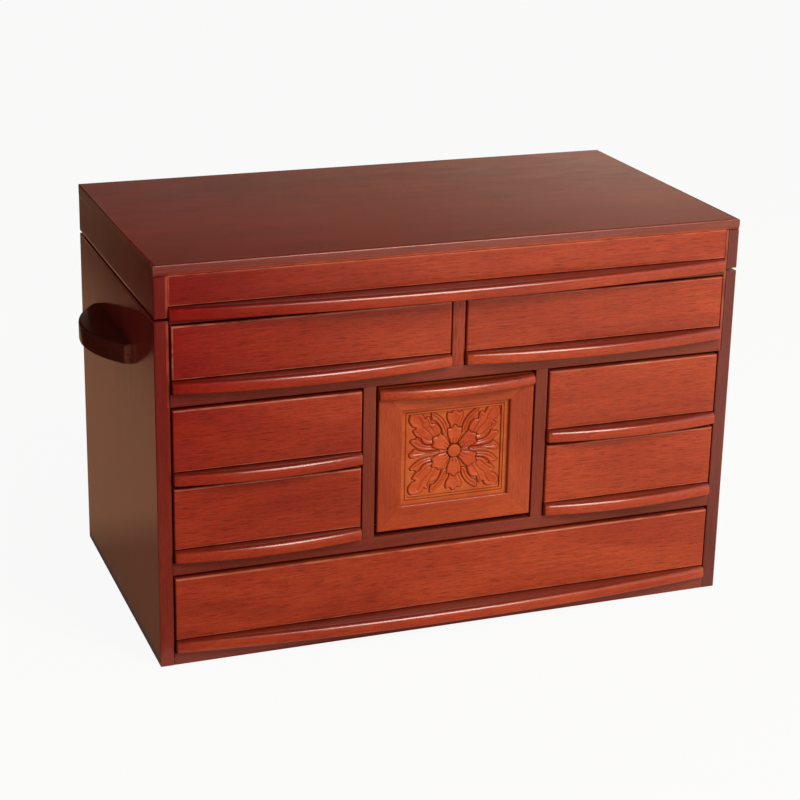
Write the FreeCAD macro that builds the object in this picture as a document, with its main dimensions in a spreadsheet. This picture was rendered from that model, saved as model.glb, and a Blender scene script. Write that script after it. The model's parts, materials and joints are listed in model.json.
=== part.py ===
# Wooden jewellery chest: a carcase of stained boards with seven drawers, a drop-down carved
# front over the middle compartment, and a hinged lid with a mirror inside.
# Frame: X runs across the width, the drawer fronts face -Y, Z is up. The origin is the
# middle of the underside. All sizes are millimetres.

import FreeCAD, Part
import os

import Sketcher

V = FreeCAD.Vector
DOWN = FreeCAD.Rotation(V(1, 0, 0), 180)
ALONG_X = FreeCAD.Rotation(V(0, 1, 0), 90)
HALF_TURN = FreeCAD.Rotation(V(0, 0, 1), 180)

doc = FreeCAD.newDocument("JewelleryChest")

# Driving dimensions: name, value, what it is
DRIVING = [
    ("cabinet_width", 430.0, "outside width of the carcase and lid"),
    ("cabinet_depth", 235.0, "outside depth of the carcase and lid"),
    ("cabinet_height", 287.5, "height of the carcase with its lid"),
    ("side_thickness", 10.0, "side boards of the carcase and lid"),
    ("board_thickness", 9.0, "bottom, shelves, posts, divider and back"),
    ("bottom_opening", 58.5, "clear height of the bottom drawer's opening"),
    ("top_opening", 48.8, "clear height of the top row"),
    ("deck_thickness", 2.5, "thin board over the top row"),
    ("centre_opening", 120.0, "clear width between the two posts"),
    ("edge_round", 0.8, "worn round on board edges"),
    ("bead_width", 2.1, "bead along the inner edge of the upper frame"),
    ("bead_setback", 0.6, "how far the bead lies behind the frame's face"),
    ("dust_board", 2.5, "thin board between two stacked drawers"),
    ("dust_setback", 14.0, "dust board's front edge behind the frame"),
    ("front_thickness", 12.0, "drawer front"),
    ("front_stand", 1.2, "how far a drawer front stands out of the frame"),
    ("front_side_gap", 1.3, "gap each side of a drawer front"),
    ("front_foot_gap", 1.0, "gap under a drawer front"),
    ("top_row_gap", 1.4, "gap over a top row front"),
    ("middle_row_gap", 2.4, "gap over an upper small front"),
    ("bottom_row_gap", 3.0, "gap over the bottom front"),
    ("front_round", 1.0, "round on the edges of a front's face"),
    ("pull_height", 8.6, "height of a bowed pull"),
    ("pull_line", 0.5, "shadow line between a pull and the face above it"),
    ("pull_seat", 6.0, "depth of the rebate that a pull is glued in"),
    ("pull_end_stand", 2.9, "how far a pull's ends stand out of the face"),
    ("pull_round", 4.2, "round on a pull's upper front edge"),
    ("pull_under_round", 1.2, "round on a pull's lower front edge"),
    ("top_row_bow", 8.6, "bow of a top row pull"),
    ("small_bow", 5.8, "bow of a small drawer's pull"),
    ("bottom_bow", 11.5, "bow of the bottom drawer's pull"),
    ("box_wall", 5.0, "side and back boards of a drawer"),
    ("box_bottom", 3.0, "bottom board of a drawer"),
    ("box_bottom_lift", 1.5, "bottom board above the drawer sides' lower edge"),
    ("box_side_gap", 0.5, "running gap beside a drawer"),
    ("run_gap", 0.3, "running gap under a drawer"),
    ("box_headroom", 5.0, "drawer sides' top below the front's top"),
    ("stop_gap", 0.4, "gap between a shut drawer and the back board"),
    ("lining_thickness", 1.2, "velvet lining of a drawer"),
    ("lining_drop", 1.5, "lining's top edge below the drawer sides' top"),
    ("flap_side_gap", 1.8, "gap each side of the drop front"),
    ("flap_foot_gap", 4.0, "gap under the drop front, for its swing"),
    ("flap_top_gap", 2.2, "gap over the drop front"),
    ("flap_member", 17.5, "width of the drop front's frame members"),
    ("flap_lip", 3.0, "frame lip in front of the carved panel"),
    ("flap_tongue", 3.0, "carved panel's edge behind the lip"),
    ("mitre_line", 0.03, "each member's share of the glue line in a mitre"),
    ("panel_thickness", 5.0, "carved panel"),
    ("panel_border", 4.4, "raised border of the carved panel"),
    ("carving_depth", 1.2, "ground of the carving below the border"),
    ("boss_radius", 5.0, "round boss in the middle of the carving"),
    ("petal_reach", 24.0, "petal tip from the middle of the carving"),
    ("petal_width", 13.0, "width of a petal"),
    ("flap_pull_end_stand", 2.6, "how far the drop front's pull stands out at its ends"),
    ("flap_bow", 7.0, "bow of the drop front's pull"),
    ("pivot_rise", 4.5, "pivot above the drop front's lower edge"),
    ("pivot_setback", 3.7, "pivot behind the drop front's face"),
    ("pivot_radius", 1.5, "pivot pin"),
    ("pivot_running", 0.05, "radial clearance of the pivot pin in a post"),
    ("pivot_in_flap", 6.0, "pivot pin's length in the drop front"),
    ("pivot_in_post", 4.0, "pivot pin's length in a post"),
    ("catch_width", 22.0, "magnet catch and strike plate"),
    ("catch_height", 8.0, "magnet catch"),
    ("catch_depth", 11.0, "magnet catch"),
    ("catch_gap", 0.3, "gap between the magnet and the strike plate"),
    ("strike_thickness", 1.0, "strike plate"),
    ("strike_height", 6.0, "strike plate"),
    ("lid_gap", 2.0, "gap between the lid and the carcase"),
    ("lid_rise", 36.0, "height of the lid"),
    ("lid_board", 7.6, "top board of the lid"),
    ("lid_front_thickness", 10.0, "front board of the lid"),
    ("lid_panel_recess", 0.8, "lid's front board behind its frame"),
    ("lid_pull_height", 8.9, "height of the lid's pull"),
    ("lid_pull_drop", 1.7, "lid's pull below the lid's boards"),
    ("lid_pull_end_stand", 3.4, "how far the lid's pull stands out at its ends"),
    ("lid_bow", 12.3, "bow of the lid's pull"),
    ("mirror_width", 340.0, "mirror under the lid's top board"),
    ("mirror_depth", 160.0, "mirror under the lid's top board"),
    ("mirror_thickness", 3.0, "mirror under the lid's top board"),
    ("bumper_radius", 3.5, "soft bumper under each side board of the lid"),
    ("bumper_setback", 14.0, "middle of a bumper behind the front"),
    ("bumper_gap", 0.2, "gap under a bumper"),
    ("hinge_spread", 130.0, "hinge from the middle plane"),
    ("hinge_length", 38.0, "hinge along the lid's edge"),
    ("hinge_leaf", 0.9, "thickness of a hinge leaf"),
    ("hinge_leaf_depth", 8.0, "depth of a hinge leaf"),
    ("barrel_radius", 2.6, "hinge barrel"),
    ("barrel_stand", 0.3, "hinge barrel behind the carcase's back"),
    ("knuckle_length", 12.0, "each of the two outer knuckles"),
    ("knuckle_gap", 0.3, "gap between two knuckles"),
    ("pin_radius", 1.1, "hinge pin"),
    ("pin_running", 0.05, "radial clearance of the pin in the lid's knuckle"),
    ("screw_head_radius", 1.9, "hinge screw head"),
    ("screw_shank_radius", 1.0, "hinge screw shank"),
    ("screw_length", 8.0, "hinge screw below its head"),
    ("screw_spread", 13.0, "hinge screw from the middle of its hinge"),
    ("handle_length", 102.0, "side handle along the side board"),
    ("handle_rise", 14.4, "height of a side handle"),
    ("handle_reach", 24.4, "side handle out of the side board, at its middle"),
    ("handle_end", 4.7, "side handle out of the side board, at its ends"),
    ("handle_round", 3.4, "round on a side handle's rim"),
    ("handle_drop", 36.5, "top of a side handle below the carcase's top edge"),
    ("handle_setback", 120.0, "middle of a side handle behind the front"),
    ("grip_length", 78.0, "finger groove under a side handle"),
    ("grip_rim", 7.0, "side handle's rim outside the finger groove"),
    ("grip_depth", 8.5, "finger groove under a side handle"),
    ("tray_pad", 3.0, "velvet pad on the deck"),
    ("tray_margin", 14.0, "pad's edge inside the lid's boards"),
    ("roll_radius", 7.5, "ring roll"),
    ("roll_length", 128.0, "ring roll"),
    ("roll_pitch", 15.4, "one ring roll to the next"),
    ("roll_count", 11.0, "ring rolls side by side"),
    ("roll_gap", 2.0, "ring rolls' ends to the partition beside them"),
    ("tray_wall", 5.0, "padded partition on the deck"),
    ("tray_wall_rise", 16.0, "padded partition above the pad"),
]

sizes = doc.addObject("Spreadsheet::Sheet", "Sizes")
for row, (name, number, note) in enumerate(DRIVING, start=1):
    sizes.set("A%d" % row, name)
    sizes.set("B%d" % row, str(number))
    sizes.setAlias("B%d" % row, name)
    sizes.set("C%d" % row, note)

# Places worked out from the driving dimensions: name, formula
DERIVED = [
    ("half_width", "Sizes.cabinet_width / 2"),
    ("inside_half", "half_width - Sizes.side_thickness"),
    ("front_plane", "-Sizes.cabinet_depth / 2"),
    ("back_plane", "Sizes.cabinet_depth / 2"),
    ("back_inside", "back_plane - Sizes.board_thickness"),
    ("middle_opening", "Sizes.cabinet_height - Sizes.lid_rise - Sizes.lid_gap - Sizes.deck_thickness"
                       " - Sizes.top_opening - Sizes.bottom_opening - 3 * Sizes.board_thickness"),
    ("lower_shelf_floor", "Sizes.board_thickness + Sizes.bottom_opening"),
    ("middle_floor", "lower_shelf_floor + Sizes.board_thickness"),
    ("upper_shelf_floor", "middle_floor + middle_opening"),
    ("top_floor", "upper_shelf_floor + Sizes.board_thickness"),
    ("deck_floor", "top_floor + Sizes.top_opening"),
    ("carcase_top", "deck_floor + Sizes.deck_thickness"),
    ("post_inner", "Sizes.centre_opening / 2"),
    ("post_outer", "post_inner + Sizes.board_thickness"),
    ("post_middle", "(inside_half + post_outer) / 2"),
    ("small_opening", "inside_half - post_outer"),
    ("half_divider", "Sizes.board_thickness / 2"),
    ("top_row_middle", "(inside_half + half_divider) / 2"),
    ("top_row_opening", "inside_half - half_divider"),
    ("top_front_rise", "Sizes.top_opening - Sizes.front_foot_gap - Sizes.top_row_gap"),
    ("bottom_front_rise", "Sizes.bottom_opening - Sizes.front_foot_gap - Sizes.bottom_row_gap"),
    ("small_front_rise", "(middle_opening - 2 * Sizes.front_foot_gap - Sizes.dust_board"
                         " - Sizes.middle_row_gap) / 2"),
    ("dust_floor", "middle_floor + Sizes.front_foot_gap + small_front_rise"),
    ("stack_floor", "dust_floor + Sizes.dust_board"),
    ("face_plane", "front_plane - Sizes.front_stand"),
    ("face_back", "face_plane + Sizes.front_thickness"),
    ("box_length", "back_inside - Sizes.stop_gap - face_back"),
    ("rebate_rise", "Sizes.pull_height + Sizes.pull_line"),
    ("flap_floor", "middle_floor + Sizes.flap_foot_gap"),
    ("flap_rise", "middle_opening - Sizes.flap_foot_gap - Sizes.flap_top_gap"),
    ("flap_top", "flap_floor + flap_rise"),
    ("flap_width", "Sizes.centre_opening - 2 * Sizes.flap_side_gap"),
    ("flap_back_part", "Sizes.front_thickness - Sizes.flap_lip"),
    ("panel_width", "flap_width - 2 * Sizes.flap_member + 2 * Sizes.flap_tongue"),
    ("panel_rise", "flap_rise - 2 * Sizes.flap_member + 2 * Sizes.flap_tongue"),
    ("pivot_y", "face_plane + Sizes.pivot_setback"),
    ("pivot_z", "flap_floor + Sizes.pivot_rise"),
    ("catch_y", "face_back + Sizes.strike_thickness + Sizes.catch_gap"),
    ("lid_floor", "carcase_top + Sizes.lid_gap"),
    ("lid_board_floor", "lid_floor + Sizes.lid_rise - Sizes.lid_board"),
    ("lid_side_rise", "Sizes.lid_rise - Sizes.lid_board"),
    ("lid_face_plane", "front_plane + Sizes.lid_panel_recess"),
    ("lid_front_back", "lid_face_plane + Sizes.lid_front_thickness"),
    ("lid_back_inside", "back_plane - Sizes.side_thickness"),
    ("hinge_y", "back_plane + Sizes.barrel_stand + Sizes.barrel_radius"),
    ("hinge_z", "carcase_top + Sizes.lid_gap / 2"),
    ("leaf_front", "back_plane - Sizes.hinge_leaf_depth"),
    ("leaf_middle", "back_plane - Sizes.hinge_leaf_depth / 2"),
    ("handle_middle", "front_plane + Sizes.handle_setback"),
    ("handle_roof", "carcase_top - Sizes.handle_drop"),
    ("handle_floor", "handle_roof - Sizes.handle_rise"),
    ("pad_width", "2 * (inside_half - Sizes.tray_margin)"),
    ("pad_depth", "lid_back_inside - lid_front_back - 2 * Sizes.tray_margin"),
    ("pad_front", "lid_front_back + Sizes.tray_margin"),
    ("pad_middle", "pad_front + pad_depth / 2"),
    ("pad_top", "carcase_top + Sizes.tray_pad"),
]

derived_names = [name for name, formula in DERIVED]
places = doc.addObject("Spreadsheet::Sheet", "Places")
for row, (name, formula) in enumerate(DERIVED, start=1):
    places.set("A%d" % row, name)
    places.set("B%d" % row, "=" + formula)
    places.setAlias("B%d" % row, name)
doc.recompute()

subparts = []


def qualified(formula):
    """Give each derived name in a formula its sheet."""
    words = []
    word = ""
    for letter in str(formula) + " ":
        if letter.isalnum() or letter in "_.":
            word += letter
        else:
            words.append("Places." + word if word in derived_names else word)
            words.append(letter)
            word = ""
    return "".join(words).strip()


def bind(thing, **formulas):
    """Bind an object's sizes to formulas."""
    for name, formula in formulas.items():
        thing.setExpression(name, qualified(formula))
    return thing


def place(thing, x="0", y="0", z="0", rotation=None):
    """Put an object at a place worked out from the sheets."""
    if rotation is not None:
        thing.Placement = FreeCAD.Placement(V(0, 0, 0), rotation)
    for axis, formula in zip("xyz", (x, y, z)):
        if str(formula) != "0":
            thing.setExpression("Placement.Base." + axis, qualified(formula))
    return thing


def keep(thing, label):
    """Name an object as a sub-part of the chest."""
    thing.Label = label
    subparts.append(thing)
    return thing


def board(name, length, width, height, x, y, z):
    """A plain board with its low corner at x, y, z."""
    box = doc.addObject("Part::Box", name)
    bind(box, Length=length, Width=width, Height=height)
    return place(box, x, y, z)


def rod(name, radius, length, x, y, z, rotation=None):
    """A round rod that starts at x, y, z and runs up, or as it is turned."""
    cylinder = doc.addObject("Part::Cylinder", name)
    bind(cylinder, Radius=radius, Height=length)
    return place(cylinder, x, y, z, rotation)


def group(name, pieces):
    """Separate solids that share one node."""
    compound = doc.addObject("Part::Compound", name)
    compound.Links = pieces
    return compound


def fused(name, pieces):
    fuse = doc.addObject("Part::MultiFuse", name)
    fuse.Shapes = pieces
    return fuse


def cut(name, base, tool):
    difference = doc.addObject("Part::Cut", name)
    difference.Base = base
    difference.Tool = tool
    return difference


def new_body(name):
    return doc.addObject("PartDesign::Body", name)


def new_sketch(body, name, plane, lift="0"):
    """A sketch on one of the body's own origin planes, moved along the plane's normal."""
    sketch = body.newObject("Sketcher::SketchObject", name)
    support = [f for f in body.Origin.OriginFeatures if f.Role == plane][0]
    sketch.AttachmentSupport = [(support, "")]
    sketch.MapMode = "FlatFace"
    if str(lift) != "0":
        sketch.setExpression("AttachmentOffset.Base.z", qualified(lift))
    return sketch


def fix_point(sketch, geometry, point, u, v):
    """Tie one point of a sketch to two formulas."""
    now = sketch.getPoint(geometry, point)
    for kind, formula, axis, start in (("DistanceX", u, "u", now.x), ("DistanceY", v, "v", now.y)):
        index = sketch.addConstraint(Sketcher.Constraint(kind, -1, 1, geometry, point, start))
        name = "%s_%d_%d" % (axis, geometry, point)
        sketch.renameConstraint(index, name)
        sketch.setExpression("Constraints." + name, qualified(formula))


def draw_polygon(sketch, corners):
    """A closed outline of straight lines through corners given as pairs of formulas."""
    count = len(corners)
    for i in range(count):
        start = V(10 * i, 7 * i * i, 0)
        end = V(10 * (i + 1) % (10 * count), 7 * ((i + 1) % count) ** 2, 0)
        sketch.addGeometry(Part.LineSegment(start, end), False)
    for i in range(count):
        sketch.addConstraint(Sketcher.Constraint("Coincident", i, 2, (i + 1) % count, 1))
    for i, (u, v) in enumerate(corners):
        fix_point(sketch, i, 1, u, v)


# Corners and crown of a bowed strip before its formulas move them
FIRST_BOW = [V(x, y, 0) for x, y in ((40, 5), (-40, 5), (40, -5), (-40, -5), (0, -12))]


def draw_bow(sketch, half, back, stand, bow):
    """A strip in plan: straight back at v = back, square ends, front bowed towards -v."""
    radius = "((%s) * (%s) + (%s) * (%s)) / (2 * (%s))" % (half, half, bow, bow, bow)
    back_right, back_left, front_right, front_left, crown = FIRST_BOW
    sketch.addGeometry(Part.LineSegment(front_right, back_right), False)
    sketch.addGeometry(Part.LineSegment(back_right, back_left), False)
    sketch.addGeometry(Part.LineSegment(back_left, front_left), False)
    sketch.addGeometry(Part.Arc(front_left, crown, front_right), False)
    for one, its_end, other, its_start in ((0, 2, 1, 1), (1, 2, 2, 1), (2, 2, 3, 1), (3, 2, 0, 1)):
        sketch.addConstraint(Sketcher.Constraint("Coincident", one, its_end, other, its_start))
    fix_point(sketch, 0, 1, half, "-(%s)" % stand)
    fix_point(sketch, 1, 1, half, back)
    fix_point(sketch, 2, 1, "-(%s)" % half, back)
    fix_point(sketch, 2, 2, "-(%s)" % half, "-(%s)" % stand)
    now = sketch.getPoint(3, 3)
    index = sketch.addConstraint(Sketcher.Constraint("DistanceY", -1, 1, 3, 3, now.y))
    sketch.renameConstraint(index, "centre")
    sketch.setExpression("Constraints.centre",
                         qualified("%s - (%s) - (%s)" % (radius, stand, bow)))


def pad(body, sketch, name, length, symmetric=False, reverse=False):
    feature = body.newObject("PartDesign::Pad", name)
    feature.Profile = sketch
    feature.SideType = "Symmetric" if symmetric else "One side"
    feature.Reversed = reverse
    bind(feature, Length=length)
    body.Tip = feature
    doc.recompute()
    return feature


def pocket(body, sketch, name, depth, reverse=False):
    """Cut a sketch out of the body, and make sure that it took something away."""
    before = body.Tip.Shape.Volume
    feature = body.newObject("PartDesign::Pocket", name)
    feature.Profile = sketch
    feature.Reversed = reverse
    bind(feature, Length=depth)
    body.Tip = feature
    doc.recompute()
    if feature.Shape.Volume > before - 0.01:
        raise ValueError(name + " cuts nothing")
    return feature


def rounded(body, name, radius, wanted):
    """Round the edges of the body's last feature that wanted() accepts."""
    base = body.Tip
    edges = ["Edge%d" % (i + 1) for i, edge in enumerate(base.Shape.Edges) if wanted(edge)]
    if not edges:
        raise ValueError(name + " finds no edge")
    feature = body.newObject("PartDesign::Fillet", name)
    feature.Base = (base, edges)
    bind(feature, Radius=radius)
    body.Tip = feature
    doc.recompute()
    return feature


def lies_at(edge, axis, value):
    """True if the whole edge lies in the plane where the axis has this value."""
    box = edge.BoundBox
    low, high = {"x": (box.XMin, box.XMax), "y": (box.YMin, box.YMax), "z": (box.ZMin, box.ZMax)}[axis]
    return abs(low - value) < 1e-4 and abs(high - value) < 1e-4


def is_bow(edge):
    return isinstance(edge.Curve, Part.Circle) and edge.Curve.Radius > 10


# Carcase

def side_board(label, side, floor, rise, bead_floor):
    """A side board whose inner front edge has a set-back bead from bead_floor upwards."""
    body = new_body(label)
    outline = new_sketch(body, label + "_outline", "XY_Plane")
    inner = "%d * inside_half" % side
    outer = "%d * half_width" % side
    draw_polygon(outline, [(inner, "front_plane"), (outer, "front_plane"),
                           (outer, "back_plane"), (inner, "back_plane")])
    pad(body, outline, label + "_pad", rise)
    strip = new_sketch(body, label + "_strip", "XY_Plane", lift=bead_floor)
    bead_edge = "%d * (inside_half + Sizes.bead_width)" % side
    bead_face = "front_plane + Sizes.bead_setback"
    draw_polygon(strip, [(inner, "front_plane"), (bead_edge, "front_plane"),
                         (bead_edge, bead_face), (inner, bead_face)])
    pocket(body, strip, label + "_bead", rise, reverse=True)
    face = side * places.half_width
    rounded(body, label + "_round", "Sizes.edge_round",
            lambda e: lies_at(e, "x", face) and (lies_at(e, "y", places.front_plane)
                                                 or lies_at(e, "y", places.back_plane)))
    return place(body, z=floor)


for side, word in ((-1, "left"), (1, "right")):
    side_panel = side_board("side_panel_" + word, side, "0", "carcase_top", "upper_shelf_floor")
    keep(side_panel, "side_panel_" + word)

keep(board("bottom_board", "2 * inside_half", "back_inside - front_plane", "Sizes.board_thickness",
           "-inside_half", "front_plane", "0"), "bottom_board")
keep(board("lower_shelf", "2 * inside_half", "back_inside - front_plane", "Sizes.board_thickness",
           "-inside_half", "front_plane", "lower_shelf_floor"), "lower_shelf")
keep(board("upper_shelf", "2 * inside_half", "back_inside - front_plane", "Sizes.board_thickness",
           "-inside_half", "front_plane", "upper_shelf_floor"), "upper_shelf")
keep(board("deck_board", "2 * inside_half", "back_inside - front_plane", "Sizes.deck_thickness",
           "-inside_half", "front_plane", "deck_floor"), "deck_board")
keep(board("top_divider", "Sizes.board_thickness", "back_inside - front_plane", "Sizes.top_opening",
           "-half_divider", "front_plane", "top_floor"), "top_divider")


def post(label, side):
    """An upright board beside the middle compartment, with a blind hole for the pivot pin."""
    low_x = "post_inner" if side > 0 else "-post_outer"
    upright = board(label + "_board", "Sizes.board_thickness", "back_inside - front_plane",
                    "middle_opening", low_x, "front_plane", "middle_floor")
    reach = "Sizes.pivot_in_post + Sizes.flap_side_gap"
    start = "post_inner - Sizes.flap_side_gap" if side > 0 else "-(post_inner + Sizes.pivot_in_post)"
    hole = rod(label + "_pivot_hole", "Sizes.pivot_radius + Sizes.pivot_running", reach + " + 0.3",
               start + ("" if side > 0 else " - 0.3"), "pivot_y", "pivot_z", ALONG_X)
    return keep(cut(label, upright, hole), label)


post("post_left", -1)
post("post_right", 1)

dust_length = "back_inside - front_plane - Sizes.dust_setback"
dust_left = board("dust_board_left", "small_opening", dust_length, "Sizes.dust_board",
                  "-inside_half", "front_plane + Sizes.dust_setback", "dust_floor")
dust_right = board("dust_board_right", "small_opening", dust_length, "Sizes.dust_board",
                   "post_outer", "front_plane + Sizes.dust_setback", "dust_floor")
keep(group("dust_boards", [dust_left, dust_right]), "dust_boards")

SCREWS = [(side, shift) for side in (-1, 1) for shift in (-1, 1)]


def screw_x(side, shift):
    return "%d * Sizes.hinge_spread + %d * Sizes.screw_spread" % (side, shift)


def screw_holes(name, z):
    """Pilot holes for the hinge screws, from the edge of a board into it."""
    holes = [rod("%s_%d" % (name, i), "Sizes.screw_shank_radius", "Sizes.screw_length",
                 screw_x(side, shift), "leaf_middle", z)
             for i, (side, shift) in enumerate(SCREWS)]
    return fused(name, holes)


back = board("back_panel_board", "2 * inside_half", "Sizes.board_thickness", "carcase_top",
             "-inside_half", "back_inside", "0")
keep(cut("back_panel", back, screw_holes("back_pilots", "carcase_top - Sizes.screw_length")),
     "back_panel")


# Drawers

def drawer_front(label, width, rise, rebate):
    """A front board, rebated along its lower edge for the pull. Local origin: the middle of
    its lower edge, in the plane of its face."""
    body = new_body(label)
    profile = new_sketch(body, label + "_profile", "YZ_Plane")
    draw_polygon(profile, [("Sizes.pull_seat", "0"), ("Sizes.front_thickness", "0"),
                           ("Sizes.front_thickness", rise), ("0", rise),
                           ("0", rebate), ("Sizes.pull_seat", rebate)])
    pad(body, profile, label + "_pad", width, symmetric=True)
    rounded(body, label + "_round", "Sizes.front_round", lambda e: lies_at(e, "y", 0))
    return body


def bowed_pull(label, length, height, seat, stand, bow):
    """A strip bowed outwards in plan, with a rounded upper edge. Local origin: the middle of
    its lower edge, in the plane of the face that it stands out of."""
    body = new_body(label)
    plan = new_sketch(body, label + "_plan", "XY_Plane")
    draw_bow(plan, "(%s) / 2" % length, seat, stand, bow)
    pad(body, plan, label + "_pad", height)
    top = body.Tip.Shape.BoundBox.ZMax
    rounded(body, label + "_round", "Sizes.pull_round",
            lambda e: is_bow(e) and lies_at(e, "z", top))
    rounded(body, label + "_under", "Sizes.pull_under_round",
            lambda e: is_bow(e) and lies_at(e, "z", 0))
    return body


def drawer_box(label, middle, opening, floor, rise):
    """Two sides, a back and a bottom behind the front, as separate boards."""
    outer = "(%s - 2 * Sizes.box_side_gap)" % opening
    low = "%s + Sizes.run_gap" % floor
    height = "%s + Sizes.front_foot_gap - Sizes.run_gap - Sizes.box_headroom" % rise
    inner = "%s - 2 * Sizes.box_wall" % outer
    left = board(label + "_left", "Sizes.box_wall", "box_length", height,
                 "%s - %s / 2" % (middle, outer), "face_back", low)
    right = board(label + "_right", "Sizes.box_wall", "box_length", height,
                  "%s + %s / 2 - Sizes.box_wall" % (middle, outer), "face_back", low)
    rear = board(label + "_rear", inner, "Sizes.box_wall", height,
                 "%s - (%s) / 2" % (middle, inner),
                 "face_back + box_length - Sizes.box_wall", low)
    base = board(label + "_base", inner, "box_length - Sizes.box_wall", "Sizes.box_bottom",
                 "%s - (%s) / 2" % (middle, inner), "face_back", low + " + Sizes.box_bottom_lift")
    return group(label, [left, right, rear, base])


def drawer_lining(label, middle, opening, floor, rise):
    """A thin velvet tray glued into the drawer."""
    width = "(%s - 2 * Sizes.box_side_gap - 2 * Sizes.box_wall)" % opening
    depth = "(box_length - Sizes.box_wall)"
    base = "%s + Sizes.run_gap + Sizes.box_bottom_lift + Sizes.box_bottom" % floor
    top = "%s + Sizes.front_foot_gap + %s - Sizes.box_headroom - Sizes.lining_drop" % (floor, rise)
    skin = "Sizes.lining_thickness"
    whole = board(label + "_whole", width, depth, "(%s) - (%s)" % (top, base),
                  "%s - %s / 2" % (middle, width), "face_back", base)
    hollow = board(label + "_hollow", "%s - 2 * %s" % (width, skin), "%s - 2 * %s" % (depth, skin),
                   "(%s) - (%s)" % (top, base),
                   "%s - %s / 2 + %s" % (middle, width, skin), "face_back + " + skin,
                   "%s + %s" % (base, skin))
    return cut(label, whole, hollow)


def drawer(label, middle, opening, floor, rise, bow):
    """One drawer: front, pull, box and lining."""
    width = "%s - 2 * Sizes.front_side_gap" % opening
    low = "%s + Sizes.front_foot_gap" % floor
    front = drawer_front(label + "_front", width, rise, "rebate_rise")
    keep(place(front, middle, "face_plane", low), label + "_front")
    pull = bowed_pull(label + "_pull", width, "Sizes.pull_height", "Sizes.pull_seat",
                      "Sizes.pull_end_stand", bow)
    keep(place(pull, middle, "face_plane", low), label + "_pull")
    keep(drawer_box(label + "_box", middle, opening, floor, rise), label + "_box")
    keep(drawer_lining(label + "_lining", middle, opening, floor, rise), label + "_lining")


for side, word in ((-1, "left"), (1, "right")):
    drawer("drawer_top_" + word, "%d * top_row_middle" % side, "top_row_opening",
           "top_floor", "top_front_rise", "Sizes.top_row_bow")
    drawer("drawer_%s_upper" % word, "%d * post_middle" % side, "small_opening",
           "stack_floor", "small_front_rise", "Sizes.small_bow")
    drawer("drawer_%s_lower" % word, "%d * post_middle" % side, "small_opening",
           "middle_floor", "small_front_rise", "Sizes.small_bow")
drawer("drawer_bottom", "0", "2 * inside_half", "Sizes.board_thickness", "bottom_front_rise",
       "Sizes.bottom_bow")


# Drop front

def frame_member(label, length, turn, x, z):
    """A mitred member of the frame: a lip in front, and a narrower part behind it that leaves
    the panel's rebate. Local origin: the middle of its outer edge, in the plane of its face."""
    body = new_body(label)
    half = "((%s) / 2 - Sizes.mitre_line)" % length

    def trapezoid(name, width):
        sketch = new_sketch(body, name, "XZ_Plane")
        inner = "(%s - (%s))" % (half, width)
        draw_polygon(sketch, [("-(%s)" % half, "0"), (half, "0"),
                              (inner, width), ("-(%s)" % inner, width)])
        return sketch

    lip = trapezoid(label + "_lip_outline", "Sizes.flap_member")
    pad(body, lip, label + "_lip", "Sizes.flap_lip", reverse=True)
    behind = trapezoid(label + "_back_outline", "Sizes.flap_member - Sizes.flap_tongue")
    pad(body, behind, label + "_back", "Sizes.front_thickness", reverse=True)
    return place(body, x, "face_plane", z, FreeCAD.Rotation(V(0, 1, 0), turn))


members = [
    frame_member("flap_bottom_rail", "flap_width", 0, "0", "flap_floor"),
    frame_member("flap_right_stile", "flap_rise", -90, "flap_width / 2", "flap_floor + flap_rise / 2"),
    frame_member("flap_top_rail", "flap_width", 180, "0", "flap_top"),
    frame_member("flap_left_stile", "flap_rise", 90, "-flap_width / 2", "flap_floor + flap_rise / 2"),
]


def pivot_rod(name, radius, side):
    """The pivot pin's place, on one side of the drop front."""
    length = "Sizes.pivot_in_flap + Sizes.flap_side_gap + Sizes.pivot_in_post - 0.3"
    start = "flap_width / 2 - Sizes.pivot_in_flap"
    if side < 0:
        start = "-(%s) - (%s)" % (start, length)
    return rod(name, radius, length, start, "pivot_y", "pivot_z", ALONG_X)


hole_left = pivot_rod("flap_hole_left", "Sizes.pivot_radius", -1)
hole_right = pivot_rod("flap_hole_right", "Sizes.pivot_radius", 1)
bottom_rail, right_stile, top_rail, left_stile = members
drilled_rail = cut("flap_bottom_rail_drilled", bottom_rail,
                   fused("flap_pivot_holes", [hole_left, hole_right]))
drilled_right = cut("flap_right_stile_drilled", right_stile, hole_right)
drilled_left = cut("flap_left_stile_drilled", left_stile, hole_left)
keep(group("flap_frame", [drilled_rail, drilled_right, top_rail, drilled_left]), "flap_frame")
keep(group("flap_pivot_pins", [pivot_rod("flap_pin_left", "Sizes.pivot_radius", -1),
                               pivot_rod("flap_pin_right", "Sizes.pivot_radius", 1)]),
     "flap_pivot_pins")

flap_pull = bowed_pull("flap_pull", "flap_width", "Sizes.pull_height", "0",
                       "Sizes.flap_pull_end_stand", "Sizes.flap_bow")
keep(place(flap_pull, "0", "face_plane", "flap_top - Sizes.pull_height"), "flap_pull")


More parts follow.
